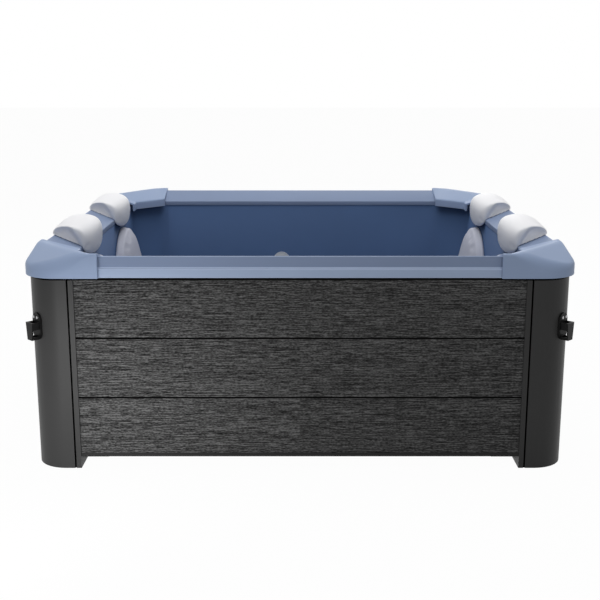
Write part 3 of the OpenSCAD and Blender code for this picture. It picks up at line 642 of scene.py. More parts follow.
@dataclass
class Effects:
    """The shader node groups and the masks that several finishes share."""

    sizes: TubSizes
    # Painted shadow under the rim: its height and its soft lower edge.
    rim_shadow_h: float = 8 * MM
    rim_shadow_soft: float = 1.5 * MM
    # Painted shade in the posts' grooves: its half width and its soft edge.
    groove_shade_half: float = 2.6 * MM
    groove_shade_soft: float = 0.6 * MM
    seam_half: float = 2.2 * MM
    seam_soft: float = 1.4 * MM
    row_shift: float = 5.0
    bend_scale: Stretch = (2.2, 1, 9)
    bend_lift: float = 14 * MM
    pore_scale: Stretch = (60, 1, 900)
    tone_range: Point2 = (0.42, 0.58)
    pit_range: Point2 = (0.56, 0.70)
    pit_depth: float = 0.45
    pit_tone: float = 0.1
    speck_share: float = 0.6
    cloud_scale: float = 3.5
    cloud_range: Point2 = (0.3, 0.7)
    cloud_share: float = 0.8
    grain: bpy.types.NodeTree = field(init=False)
    skin: bpy.types.NodeTree = field(init=False)

    def __post_init__(self) -> None:
        """Builds the groups once."""
        self.grain = self.make_grain()
        self.skin = self.make_skin()

    def rim_painted_shadow(self, board: Board, z: Any) -> bpy.types.NodeSocket:
        """A mask of the black painted shadow just under the rim, on what stands under it.

        Args:
            board: Board of the group or material.
            z: Height above the ground.

        Returns:
            The mask, 1 in the painted shadow.
        """
        low = self.sizes.rim_base - self.rim_shadow_h
        return board.remap(z, low - self.rim_shadow_soft, low, 0.0, 1.0)

    def post_groove_shade(self, board: Board, x: Any, y: Any) -> bpy.types.NodeSocket:
        """A mask of painted shade in the upright grooves of the posts.

        Args:
            board: Board of the material.
            x: Place from left to right.
            y: Place from front to rear.

        Returns:
            The mask, 1 where shade is painted in a groove.
        """
        place = self.sizes.groove_place
        away = [board.math("SUBTRACT", board.math("ABSOLUTE", value), place) for value in (x, y)]
        nearest = board.math("MINIMUM", *[board.math("ABSOLUTE", value) for value in away])
        return board.remap(nearest, self.groove_shade_half, self.groove_shade_half + self.groove_shade_soft, 1.0, 0.0)

    def make_grain(self) -> bpy.types.NodeTree:
        """Builds brushed wood grain that starts afresh on each row of planks.

        Returns:
            A group that puts out the tone and the height of the grain, and the dark seams of rows joined
            with the painted shadow under the rim.
        """
        inputs = [("Vector", "NodeSocketVector"), ("Turn", "NodeSocketFloat")]
        board, source, target = node_group("brushed_grain", inputs, ["Tone", "Height", "Seam"])
        turn = source.outputs["Turn"]
        x, y, z = board.add("ShaderNodeSeparateXYZ", {0: source.outputs["Vector"]}).outputs
        keep_x = board.math("MULTIPLY", x, board.math("SUBTRACT", 1.0, turn))
        along = board.math("ADD", keep_x, board.math("MULTIPLY", y, turn))
        low, pitch = self.sizes.sill_top, self.sizes.plank_pitch
        rows = board.math("DIVIDE", board.math("SUBTRACT", z, low), pitch)
        shift = board.math("MULTIPLY", board.math("FLOOR", rows), self.row_shift)
        # First the dark seams between rows, then the painted shadow under the rim joins them.
        seam_and_shadow = board.math("MULTIPLY", board.math("PINGPONG", rows, 0.5), pitch)
        seam_and_shadow = board.remap(seam_and_shadow, self.seam_half, self.seam_half + self.seam_soft, 1.0, 0.0)
        seam_and_shadow = board.math("MAXIMUM", seam_and_shadow, self.rim_painted_shadow(board, z))
        plank = board.add("ShaderNodeCombineXYZ", {0: along, 1: shift, 2: z}).outputs[0]
        bend = board.noise(board.stretch(plank, self.bend_scale), 1.0, 2.0)
        lift = board.math("MULTIPLY", board.math("SUBTRACT", bend, 0.5), self.bend_lift)
        bent_z = board.math("ADD", z, lift)
        vector = board.add("ShaderNodeCombineXYZ", {0: along, 1: shift, 2: bent_z}).outputs[0]
        mixed = 0.0
        for scale, weight in STREAK_WEIGHTS.items():
            layer = board.noise(board.stretch(vector, scale), 1.0, 1.0, 0.6)
            mixed = board.math("ADD", mixed, board.math("MULTIPLY", layer, weight))
        pore = board.noise(board.stretch(vector, self.pore_scale), 1.0, 1.0)
        tone = board.remap(mixed, *self.tone_range, 0.0, 1.0)
        pit = board.remap(pore, *self.pit_range, 0.0, 1.0)
        height = board.math("SUBTRACT", tone, board.math("MULTIPLY", pit, self.pit_depth))
        tone = board.math("SUBTRACT", tone, board.math("MULTIPLY", pit, self.pit_tone))
        # The seams and the painted shadow under the rim turn the tone black.
        tone = board.math("MULTIPLY", tone, board.math("SUBTRACT", 1.0, seam_and_shadow))
        board.tree.links.new(tone, target.inputs["Tone"])
        board.tree.links.new(height, target.inputs["Height"])
        board.tree.links.new(seam_and_shadow, target.inputs["Seam"])
        return board.tree

    def make_skin(self) -> bpy.types.NodeTree:
        """Builds a fine moulded texture with broad, faint clouds of tone.

        Returns:
            A group that puts out the tone of the clouds and the height of the texture.
        """
        inputs = [("Vector", "NodeSocketVector"), ("Texture Scale", "NodeSocketFloat")]
        board, source, target = node_group("moulded_skin", inputs, ["Tone", "Height"])
        vector = source.outputs["Vector"]
        scale = source.outputs["Texture Scale"]
        cloud = board.noise(vector, self.cloud_scale, 3.0, 0.55)
        speck = board.noise(vector, scale, 2.0, 0.6)
        cell_scale = board.math("MULTIPLY", scale, 0.6)
        cells = board.add("ShaderNodeTexVoronoi", {"Vector": vector, "Scale": cell_scale})
        fine = board.mix(cells.outputs["Distance"], speck, self.speck_share)
        cloud = board.mix(speck, cloud, self.cloud_share)
        tone = board.remap(cloud, *self.cloud_range, 0.0, 1.0)
        board.tree.links.new(tone, target.inputs["Tone"])
        board.tree.links.new(fine, target.inputs["Height"])
        return board.tree


# Finishes


def shift_color(color: Color, factor: float) -> Color:
    """A colour made lighter or darker by a factor."""
    return tuple(min(1.0, c * factor) for c in color)


@dataclass(frozen=True)
class Finish:
    """A moulded, coated or foamed surface with a fine texture."""

    name: str
    color: Color
    roughness: float = 0.45
    spread: float = 0.06
    texture: float = 900.0
    bump: float = 0.05
    relief: float = 0.2 * MM
    metallic: float = 0.0
    sheen: float = 0.0
    coat: float = 0.0
    specular: float = 0.5
    gloss_spread: float = 0.04
    # Whether shade is painted black into the posts' grooves and under the rim.
    painted_groove_and_rim_shade: bool = False

    def make(self, effects: Effects) -> bpy.types.Material:
        """Builds the material.

        Args:
            effects: Shared shader node groups.

        Returns:
            The material.
        """
        material, board = new_material(self.name)
        vector = board.add("ShaderNodeTexCoord").outputs["Object"]
        inputs = {"Vector": vector, "Texture Scale": self.texture}
        tone, height = board.add("ShaderNodeGroup", inputs, node_tree=effects.skin).outputs
        tones = (1 - self.spread, 1 + self.spread)
        color = board.ramp(tone, [(k, shift_color(self.color, f)) for k, f in enumerate(tones)])
        low, high = self.roughness - self.gloss_spread, self.roughness + self.gloss_spread
        gloss = board.remap(tone, 0.0, 1.0, low, high)
        shader = board.shader(color, gloss, height, self.bump, self.relief)
        shader.inputs["Metallic"].default_value = self.metallic
        shader.inputs["Sheen Weight"].default_value = self.sheen
        shader.inputs["Coat Weight"].default_value = self.coat
        shader.inputs["Specular IOR Level"].default_value = self.specular
        if self.painted_groove_and_rim_shade:
            self.paint_groove_and_rim_shade(board, vector, color, shader, effects)
        return material

    def paint_groove_and_rim_shade(
        self, board: Board, vector: Any, color: Any, shader: bpy.types.Node, effects: Effects
    ) -> None:
        """Paints shade black and dull into the upright grooves and under the rim.

        Args:
            board: Board of the material.
            vector: Object coordinates.
            color: Colour beside the painted shade.
            shader: Shader to change.
            effects: Shared effects, which know where the grooves and the rim are.
        """
        x, y, z = board.add("ShaderNodeSeparateXYZ", {0: vector}).outputs
        # Painted shade in the grooves, joined with the painted shadow under the rim.
        grooves = effects.post_groove_shade(board, x, y)
        mask = board.math("MAXIMUM", grooves, effects.rim_painted_shadow(board, z))
        inputs = {0: mask, 6: color, 7: (0, 0, 0, 1)}
        black = board.add("ShaderNodeMix", inputs, data_type="RGBA").outputs[2]
        board.tree.links.new(black, shader.inputs["Base Color"])
        board.tree.links.new(mask, shader.inputs["Metallic"])


@dataclass(frozen=True)
class GrainFinish:
    """Brushed wood grain on a plank."""

    name: str
    turn: Grain
    dark: Color = (0.005, 0.005, 0.005)
    middle: Color = (0.045, 0.045, 0.045)
    light: Color = (0.135, 0.135, 0.135)
    bump: float = 0.5
    relief: float = 0.9 * MM
    specular: float = 0.12
    dark_roughness: float = 0.75
    light_roughness: float = 0.38

    def make(self, effects: Effects) -> bpy.types.Material:
        """Builds the material.

        Args:
            effects: Shared shader node groups.

        Returns:
            The material.
        """
        material, board = new_material(self.name)
        vector = board.add("ShaderNodeTexCoord").outputs["Object"]
        inputs = {"Vector": vector, "Turn": self.turn.value}
        tone, height, seam_and_shadow = board.add("ShaderNodeGroup", inputs, node_tree=effects.grain).outputs
        color = board.ramp(tone, [(0.0, self.dark), (0.5, self.middle), (1.0, self.light)])
        gloss = board.remap(tone, 0.0, 1.0, self.dark_roughness, self.light_roughness)
        shader = board.shader(color, gloss, height, self.bump, self.relief)
        # The seams and the painted shadow under the rim are made dark and dull.
        board.tree.links.new(seam_and_shadow, shader.inputs["Metallic"])
        shader.inputs["Specular IOR Level"].default_value = self.specular
        return material


FINISH_LIST = [
    # The posts get painted shade in their grooves and under the rim.
    Finish("post_plastic", (0.042, 0.042, 0.042), roughness=0.42, bump=0.08, specular=0.12, painted_groove_and_rim_shade=True),
    Finish("sill_plastic", (0.016, 0.016, 0.016), roughness=0.5, specular=0.15),
    Finish("wall_foam", (0.70, 0.70, 0.70), roughness=0.85, texture=400, bump=0.3),
    Finish("rail_foam", (0.220, 0.282, 0.425), roughness=0.5, spread=0.04, texture=700, specular=0.2),
    Finish("rail_band", (0.360, 0.450, 0.625), roughness=0.5, spread=0.04, texture=700, specular=0.2),
    # Lighter finish of the rails' rounded edges: a painted highlight.
    Finish("rail_edge", (0.440, 0.530, 0.720), roughness=0.45, spread=0.04, texture=700, specular=0.3),
    Finish("cap_foam", (0.292, 0.375, 0.550), roughness=0.48, spread=0.03, texture=700, specular=0.2),
    Finish("pillow_foam", (0.92, 0.92, 0.94), roughness=0.5, spread=0.02, texture=800, specular=0.3),
    Finish("backrest_foam", (0.54, 0.555, 0.64), roughness=0.55, spread=0.02, texture=800, specular=0.3),
    Finish("clip_plastic", (0.006, 0.006, 0.006), roughness=0.4, texture=1200, specular=0.12),
    Finish("screw_steel", (0.50, 0.50, 0.51), roughness=0.3, metallic=1.0),
    Finish("liner_sheet", (0.060, 0.106, 0.220), roughness=0.6, spread=0.05, texture=500, specular=0.05),
    Finish("mat_foam", (0.10, 0.10, 0.11), roughness=0.85, texture=300, bump=0.3),
    Finish("ring_plastic", (0.55, 0.58, 0.63), roughness=0.4),
    Finish("tray_plastic", (0.05, 0.05, 0.055), roughness=0.5),
    Finish("pump_plastic", (0.12, 0.12, 0.13), roughness=0.5),
    Finish("impeller_plastic", (0.75, 0.75, 0.74), roughness=0.4),
    Finish("heater_steel", (0.55, 0.56, 0.58), roughness=0.28, metallic=1.0),
    Finish("blower_plastic", (0.035, 0.036, 0.040), roughness=0.5),
    Finish("hose_rubber", (0.15, 0.16, 0.17), roughness=0.6),
    Finish("fitting_plastic", (0.68, 0.70, 0.72), roughness=0.25, coat=0.3),
    Finish("filter_fabric", (0.85, 0.85, 0.82), roughness=0.9, sheen=0.3, texture=1500, bump=0.4),
    Finish("drain_plastic", (0.030, 0.032, 0.035), roughness=0.45),
    Finish("control_plastic", (0.014, 0.015, 0.017), roughness=0.42, texture=1400, bump=0.1),
    Finish("display_glass", (0.010, 0.030, 0.040), roughness=0.08, bump=0.0, coat=1.0),
    Finish("button_plastic", (0.80, 0.82, 0.85), roughness=0.45),
]


@dataclass
class Palette:
    """Makes each finish's material once, when it is first asked for."""

    effects: Effects
    finishes: dict[str, Finish] = field(default_factory=lambda: {f.name: f for f in FINISH_LIST})
    made: dict[str, bpy.types.Material] = field(default_factory=dict)

    def get(self, name: str) -> bpy.types.Material:
        """The material of a named finish."""
        if name not in self.made:
            self.made[name] = self.finishes[name].make(self.effects)
        return self.made[name]

    def grain(self, turn: Grain) -> bpy.types.Material:
        """The plank material whose grain runs in a direction."""
        name = "plank_grain_" + turn.name.lower()
        if name not in self.made:
            self.made[name] = GrainFinish(name, turn).make(self.effects)
        return self.made[name]


# Sub-assemblies


@dataclass
class Studio:
    """The camera, the pale floor and the soft light."""

    place: Vector = field(default_factory=lambda: Vector((0, -4.1969, 1.3445)))
    tilt: float = 0.2254
    lens: float = 61.32
    sensor: float = 36.0
    floor_size: float = 60.0
    floor_drop: float = 0.3 * MM
    floor_white: float = 0.975
    floor_grey: float = 0.85
    world_grey: float = 0.20

    def build(self) -> None:
        """Makes the camera, the floor, the world and the lamps."""
        bpy.context.scene.view_settings.view_transform = "Standard"
        self.add_camera()
        self.add_floor()
        self.add_world()
        middle = (0, 0, 0.6)
        self.add_lamp("overhead", (-0.3, 0.2, 4.2), (0, 0, 0.5), size=3.5, power=105)
        self.add_lamp("fill", (0.4, -4.6, 2.4), middle, size=2.5, power=28)
        self.add_lamp("rear_fill", (0.8, 4.6, 2.4), middle, size=2.5, power=24)
        self.add_lamp("left_edge", (-3.2, 0.6, 0.9), (-0.9, -0.8, 0.4), size=1.2, power=2.5)
        self.add_lamp("key", (-0.95, -1.95, 0.28), (-0.6, -0.92, 0.16), size=0.4, power=2.3, spread=80)

    def add_camera(self) -> None:
        """Makes the camera at the photograph's place."""
        data = bpy.data.cameras.new("camera")
        data.lens = self.lens
        data.sensor_width = self.sensor
        camera = bpy.data.objects.new("camera", data)
        camera.location = self.place
        camera.rotation_euler = (math.pi / 2 - self.tilt, 0, 0)
        bpy.context.scene.collection.objects.link(camera)
        bpy.context.scene.camera = camera

    def add_lamp(
        self,
        name: str,
        place: Sequence[float],
        aim: Sequence[float],
        size: float,
        power: float,
        spread: float = 180,
    ) -> None:
        """Adds a soft square lamp.

        Args:
            name: Name of the lamp.
            place: Where it hangs.
            aim: Point that it faces.
            size: Edge of its square.
            power: Power in watts.
            spread: Angle in degrees that its light fans out over.
        """
        data = bpy.data.lights.new(name, "AREA")
        data.size = size
        data.energy = power
        data.spread = math.radians(spread)
        lamp = bpy.data.objects.new(name, data)
        lamp.location = place
        lamp.rotation_euler = (Vector(aim) - Vector(place)).to_track_quat("-Z", "Y").to_euler()
        lamp.visible_camera = False
        bpy.context.scene.collection.objects.link(lamp)

    def seen_share(self, board: Board) -> bpy.types.NodeSocket:
        """A mask of the rays that show the background: camera, glossy and transmission rays."""
        path = board.add("ShaderNodeLightPath").outputs
        seen = board.math("MAXIMUM", path["Is Camera Ray"], path["Is Glossy Ray"])
        return board.math("MAXIMUM", seen, path["Is Transmission Ray"])

    def add_floor(self) -> None:
        """Makes a white floor that keeps a faint shadow."""
        bm = bmesh.new()
        place = Matrix.Translation((0, 0, -self.floor_drop))
        bmesh.ops.create_grid(bm, x_segments=1, y_segments=1, size=self.floor_size / 2, matrix=place)
        floor = new_piece("floor", bm)
        material, board = new_material("floor_paper")
        grey = (self.floor_grey, self.floor_grey, self.floor_grey, 1)
        paper = board.add("ShaderNodeBsdfDiffuse", {"Color": grey}).outputs[0]
        white = board.add("ShaderNodeEmission", {"Color": (1, 1, 1, 1), "Strength": 1.0}).outputs[0]
        share = board.math("MULTIPLY", self.seen_share(board), self.floor_white)
        surface = board.add("ShaderNodeMixShader", {0: share, 1: paper, 2: white}).outputs[0]
        board.add("ShaderNodeOutputMaterial", {"Surface": surface})
        floor.data.materials.append(material)

    def add_world(self) -> None:
        """Makes a world that looks white and lights softly."""
        world = bpy.data.worlds.new("studio")
        world.use_nodes = True
        board = Board(world.node_tree)
        grey = (self.world_grey, self.world_grey, self.world_grey, 1)
        light = board.add("ShaderNodeBackground", {"Color": grey}).outputs[0]
        white = board.add("ShaderNodeBackground", {"Color": (1, 1, 1, 1)}).outputs[0]
        share = self.seen_share(board)
        surface = board.add("ShaderNodeMixShader", {0: share, 1: light, 2: white}).outputs[0]
        board.add("ShaderNodeOutputWorld", {"Surface": surface})
        bpy.context.scene.world = world


# Width of the rounded edges of CAD nodes, by the start of their names
EDGE_WIDTHS = {
    "cover_clips": 1.0 * MM,
    "control_unit": 2.0 * MM,
    "sill_strips": 0.6 * MM,
    "return_fitting": 1.0 * MM,
    "drain_cap": 0.8 * MM,
}


@dataclass
class CadPieces:
    """The CAD nodes that keep their own shape and get a finish."""

    nodes: dict[str, bpy.types.Object]
    slots: dict[str, str]
    palette: Palette
    weld: float = 0.01 * MM
    crease: float = 35.0

    def dress(self, skipped: Iterable[str]) -> None:
        """Gives every shown node its finish and smooth round faces.

        Args:
            skipped: Nodes that other pieces stand for.
        """
        hidden = set(skipped)
        for name, node in self.nodes.items():
            if name in hidden:
                continue
            node.data.materials.clear()
            node.data.materials.append(self.material_of(name))
            self.smooth(name, node)
            LOG.info("%s: CAD shape in %s", name, node.data.materials[0].name)

    def material_of(self, name: str) -> bpy.types.Material:
        """The material of a CAD node."""
        slot = self.slots[name]
        if slot == PLANK_SLOT:
            along_x = "front" in name or "rear" in name
            return self.palette.grain(Grain.ALONG_X if along_x else Grain.ALONG_Y)
        return self.palette.get(slot)

    def smooth(self, name: str, node: bpy.types.Object) -> None:
        """Joins a node's loose triangles for shading, and rounds or keeps its corners.

        Args:
            name: Name of the node.
            node: Its object.
        """
        node.data.polygons.foreach_set("use_smooth", [True] * len(node.data.polygons))
        weld = node.modifiers.new("weld", "WELD")
        weld.merge_threshold = self.weld
        width = next((w for start, w in EDGE_WIDTHS.items() if name.startswith(start)), 0.0)
        if width:
            bevel = node.modifiers.new("soft_edges", "BEVEL")
            bevel.width = width
            bevel.segments = 2
            bevel.limit_method = "ANGLE"
            bevel.angle_limit = math.radians(self.crease)
            node.modifiers.new("flat_faces", "WEIGHTED_NORMAL")
        else:
            split = node.modifiers.new("corners", "EDGE_SPLIT")
            split.split_angle = math.radians(self.crease)


class RailFinish(Enum):
    """The finishes of a rail, by their places among its materials."""

    RAIL_FOAM = 0
    RAIL_BAND = 1
    # Painted highlight on the rounded edges.
    RAIL_EDGE = 2


@dataclass
class RimRails:
    """The four straight foam rails of the rim."""

    sizes: TubSizes
    palette: Palette
    edge_r: float = 4 * MM
    edge_steps: int = 4
    rebate: float = 5.3 * MM

    def section(self) -> list[Point2]:
        """The section of a rail as (y, z), from its outer foot over the top to its inner foot."""
        s = self.sizes
        return [
            (-s.band_inset, s.rim_base),
            (-s.band_inset, s.rim_base + s.band_h - s.band_slope),
            (-s.rail_inset, s.rim_base + s.band_h),
            (-s.rail_inset, s.rail_top),
            (-s.rail_in, s.rail_in_z),
            (-s.rail_in, s.liner_top),
            (self.rebate - s.rail_in, s.liner_top),
            (self.rebate - s.rail_in, s.rim_base),
        ]

    def build(self) -> list[str]:
        """Makes the rails.

        Returns:
            The nodes that they stand for.
        """
        return [self.build_rail(side) for side in Side]

    def build_rail(self, side: Side) -> str:
        """Makes one rail.

        Args:
            side: Side that it lies on.

        Returns:
            The node that it stands for.
        """
        s = self.sizes
        half = s.rail_run
        bm = loft([[Vector((x, y, z)) for y, z in self.section()] for x in (-half, half)])
        long_edges = [e for e in sharp_edges(bm, 10) if abs(e.verts[0].co.x - e.verts[1].co.x) > half]
        rounded = round_edges(bm, long_edges, self.edge_r, self.edge_steps)
        band_top = s.rim_base + s.band_h
        for face in bm.faces:
            center = face.calc_center_median()
            in_band = center.z < band_top and center.y > -s.rail_inset - MM
            face.material_index = (RailFinish.RAIL_BAND if in_band else RailFinish.RAIL_FOAM).value
        # The rounded outer edges get a lighter finish: a painted highlight.
        for face in rounded:
            if face.calc_center_median().y > -s.rail_inset - 2 * self.edge_r:
                face.material_index = RailFinish.RAIL_EDGE.value
        bmesh.ops.transform(bm, matrix=s.side_matrix(side), verts=bm.verts)
        piece = new_piece("rail_" + side.label, bm)
        node = "rim_rail_" + side.label
        finishes = [self.palette.get(finish.name.lower()) for finish in RailFinish]
        place_piece(piece, FRAME_BODY, node, finishes)
        return node


@dataclass
class CornerCaps:
    """The four foam caps over the corners of the rim."""

    sizes: TubSizes
    palette: Palette
    wall: float = 9 * MM
    ridge_front: float = 225 * MM
    ridge_side: float = 290 * MM
    ridge_slope: float = 0.36
    ridge_soft: float = 12 * MM
    ridge_drop: float = 6 * MM
    edge_r: float = 12 * MM
    edge_swell: float = 32 * MM
    lip_r: float = 6 * MM
    trim: float = 2 * MM
    leg_steps: int = 10
    arc_steps: int = 16
    edge_steps: int = 5
    roof_steps: int = 24
    lip_steps: int = 3

    def leg_places(self, leg: float) -> list[float]:
        """Distances from the corner of the points along a straight leg, past its round end."""
        r = self.sizes.cap_r
        return [r + (leg - r) * k / self.leg_steps for k in range(1, self.leg_steps + 1)]

    def outer_path(self) -> list[Vector]:
        """Points of the outer face in plan, from the front leg's end round to the side leg's end."""
        s = self.sizes
        r = s.cap_r
        points = [(-d, 0) for d in reversed(self.leg_places(s.cap_leg_front))]
        points += arc((-r, -r), r, 90, 0, self.arc_steps)
        points += [(0, -d) for d in self.leg_places(s.cap_leg_side)]
        return [Vector(point) for point in points]

    def inner_point(self, outer: Vector) -> Vector:
        """The point of the inner lip that faces a point of the outer face."""
        s = self.sizes
        if outer.y < -s.cap_leg_front:
            return Vector((-s.cap_in, outer.y))
        lean = (outer.y - outer.x) / (2 * s.cap_leg_front)
        start = Vector((-s.cap_leg_front, -s.cap_in))
        end = Vector((-s.cap_in, -s.cap_leg_front))
        return start.lerp(end, clamp(0.5 - lean))

    def edge_radius(self, outer: Vector) -> float:
        """Size of the round outer edge at a point of the outer face, widest on the front leg."""
        s = self.sizes
        away = clamp(self.ridge_distance(outer) / s.cap_in)
        front = smooth_step(0.5 + (outer.y - outer.x) / s.cap_r)
        return self.edge_r + self.edge_swell * 4 * away * (1 - away) * front

    def ring(self, outer: Vector, trim: float) -> list[Vector]:
        """The closed section of a cap at a point of its outer face.

        Args:
            outer: Point of the outer face in plan.
            trim: How far the section is drawn in, for a soft end.

        Returns:
            Points from the outer foot over the roof to the inner lip and back inside.
        """
        s = self.sizes
        inner = self.inner_point(outer)
        depth = (inner - outer).length
        radius = self.edge_radius(outer)
        roof = self.roof_curve(outer, inner)
        wall_top = roof(0.0)
        shoulder = (0.0, wall_top - radius)
        top = [(0.0, s.rim_base), (0.0, (s.rim_base + wall_top - radius) / 2)]
        top += round_bend(shoulder, (0.0, wall_top), (radius, roof(radius)), self.edge_steps)
        lip_start = depth - self.lip_r
        for k in range(1, self.roof_steps):
            d = radius + (lip_start - radius) * k / self.roof_steps
            top.append((d, roof(d)))
        lip = (depth, roof(depth))
        lip_end = (depth, lip[1] - self.lip_r)
        top += round_bend((lip_start, roof(lip_start)), lip, lip_end, self.lip_steps)
        top.append((depth, s.liner_top))
        inside = depth - self.wall
        under = [(inside, s.liner_top), (inside, roof(inside) - self.wall)]
        under += [(d * depth, roof(d * depth) - self.wall) for d in (0.75, 0.5, 0.25)]
        under += [(self.wall, wall_top - self.wall - radius / 2), (self.wall, s.rim_base)]
        drawn = [(min(max(d, trim), depth - trim), max(z - trim, s.rim_base)) for d, z in top]
        step = (inner - outer) / depth
        return [Vector((*(outer + step * d), z)) for d, z in drawn + under]

    def ridge_distance(self, point: Vector) -> float:
        """Distance of a point in plan from the ridge across the corner, positive outside it."""
        slope_x, slope_y = 1 / self.ridge_front, 1 / self.ridge_side
        return (1 + point.x * slope_x + point.y * slope_y) / math.hypot(slope_x, slope_y)

    def roof_curve(self, outer: Vector, inner: Vector) -> Callable[[float], float]:
        """The height of a cap's roof over the distance from its outer face.

        Args:
            outer: Point of the outer face in plan.
            inner: Point of the inner lip that faces it.

        Returns:
            A function of the distance, which rises to the ridge and falls from there to the lip.
        """
        s = self.sizes
        depth = (inner - outer).length
        start, end = self.ridge_distance(outer), self.ridge_distance(inner)
        crest = depth * max(0.0, start / (start - end)) if start != end else 0.0
        soft = self.ridge_soft
        top = s.cap_top + self.ridge_drop * (outer.y + inner.y) / (2 * s.cap_leg_side)

        def height(d: float) -> float:
            """The roof's height at a distance from the outer face."""
            away = start + (end - start) * d / depth
            rise = top - self.ridge_slope * away
            fall = s.cap_in_z + (top - s.cap_in_z) * (depth - d) / (depth - crest)
            blend = max(soft - abs(rise - fall), 0.0) / soft
            return min(min(rise, fall) - blend * blend * soft / 4, top)

        return height

    def build(self) -> list[str]:
        """Makes the caps.

        Returns:
            The nodes that they stand for.
        """
        return [self.build_cap(corner) for corner in Corner]

    def build_cap(self, corner: Corner) -> str:
        """Makes one cap.

        Args:
            corner: Corner that it covers.

        Returns:
            The node that it stands for.
        """
        path = self.outer_path()
        ends = [path[0].copy(), path[-1].copy()]
        path[0].x += self.trim
        path[-1].y += self.trim
        rings = [self.ring(p, 0.0) for p in path]
        rings = [self.ring(ends[0], self.trim)] + rings + [self.ring(ends[1], self.trim)]
        bm = loft(rings)
        bmesh.ops.transform(bm, matrix=self.sizes.corner_matrix(corner), verts=bm.verts)
        piece = new_piece("cap_" + corner.label, bm)
        node = "corner_cap_" + corner.label
        place_piece(piece, FRAME_BODY, node, [self.palette.get("cap_foam")])
        return node


@dataclass
class Liner:
    """The sheet that lines the tub."""

    sizes: TubSizes
    palette: Palette
    corner_r: float = 25 * MM
    floor_r: float = 20 * MM
    steps: int = 6

    def build(self) -> list[str]:
        """Makes the liner.

        Returns:
            The node that it stands for.
        """
        s = self.sizes
        a, b, c = s.half_w - s.liner_inset, s.half_d - s.liner_inset, s.liner_chamfer
        right = [(a - c, -b), (a, c - b), (a, b - c), (a - c, b)]
        plan = right + [(-x, -y) for x, y in right]
        floor_z = s.liner_base + s.liner_t
        bm = bmesh.new()
        floor = closed_loop(bm, [Vector((x, y, floor_z)) for x, y in plan])
        floor_edges = loop_edges(floor)
        extrude_loop(bm, floor, [Vector((x, y, s.liner_top)) for x, y in plan])
        bmesh.ops.edgeloop_fill(bm, edges=floor_edges)
        uprights = [e for e in bm.edges if abs(e.verts[0].co.z - e.verts[1].co.z) > s.liner_t]
        round_edges(bm, uprights, self.corner_r, self.steps)
        limit = floor_z + s.liner_t
        low_edges = [e for e in sharp_edges(bm, 60) if max(v.co.z for v in e.verts) < limit]
        round_edges(bm, low_edges, self.floor_r, self.steps)
        piece = new_piece("liner_skin", bm, crease=60)
        shell = piece.modifiers.new("sheet", "SOLIDIFY")
        shell.thickness = s.liner_t
        shell.offset = 1.0
        place_piece(piece, FRAME_BODY, "liner", [self.palette.get("liner_sheet")])
        return ["liner"]


@dataclass
class SeatPads:
    """Soft pads of one form, one in each seat."""

    sizes: TubSizes
    palette: Palette

    def place_copies(self, soft: BMesh, prefix: str, kind: str) -> list[str]:
        """Puts a copy of a soft form in each seat, mirrored on the right.

        Args:
            soft: Soft form in a local side frame, about its middle, freed here.
            prefix: Start of the pieces' names.
            kind: Start of the names of their nodes and of their finish.

        Returns:
            The nodes that the pads stand for.
        """
        finish = kind + "_foam"
        nodes = [kind + "_" + corner.label for corner in Corner]
        for corner, node in zip(Corner, nodes):
            lo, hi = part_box(node)
            place = self.sizes.seat_matrix(corner, abs(lo.y + hi.y) / 2)
            bm = soft.copy()
            bmesh.ops.transform(bm, matrix=place, verts=bm.verts)
            piece = new_piece(prefix + node, bm, crease=70)
            smooth = piece.modifiers.new("smooth_form", "SUBSURF")
            smooth.levels = 1
            smooth.render_levels = 1
            place_piece(piece, node, node, [self.palette.get(finish)])
        soft.free()
        return nodes


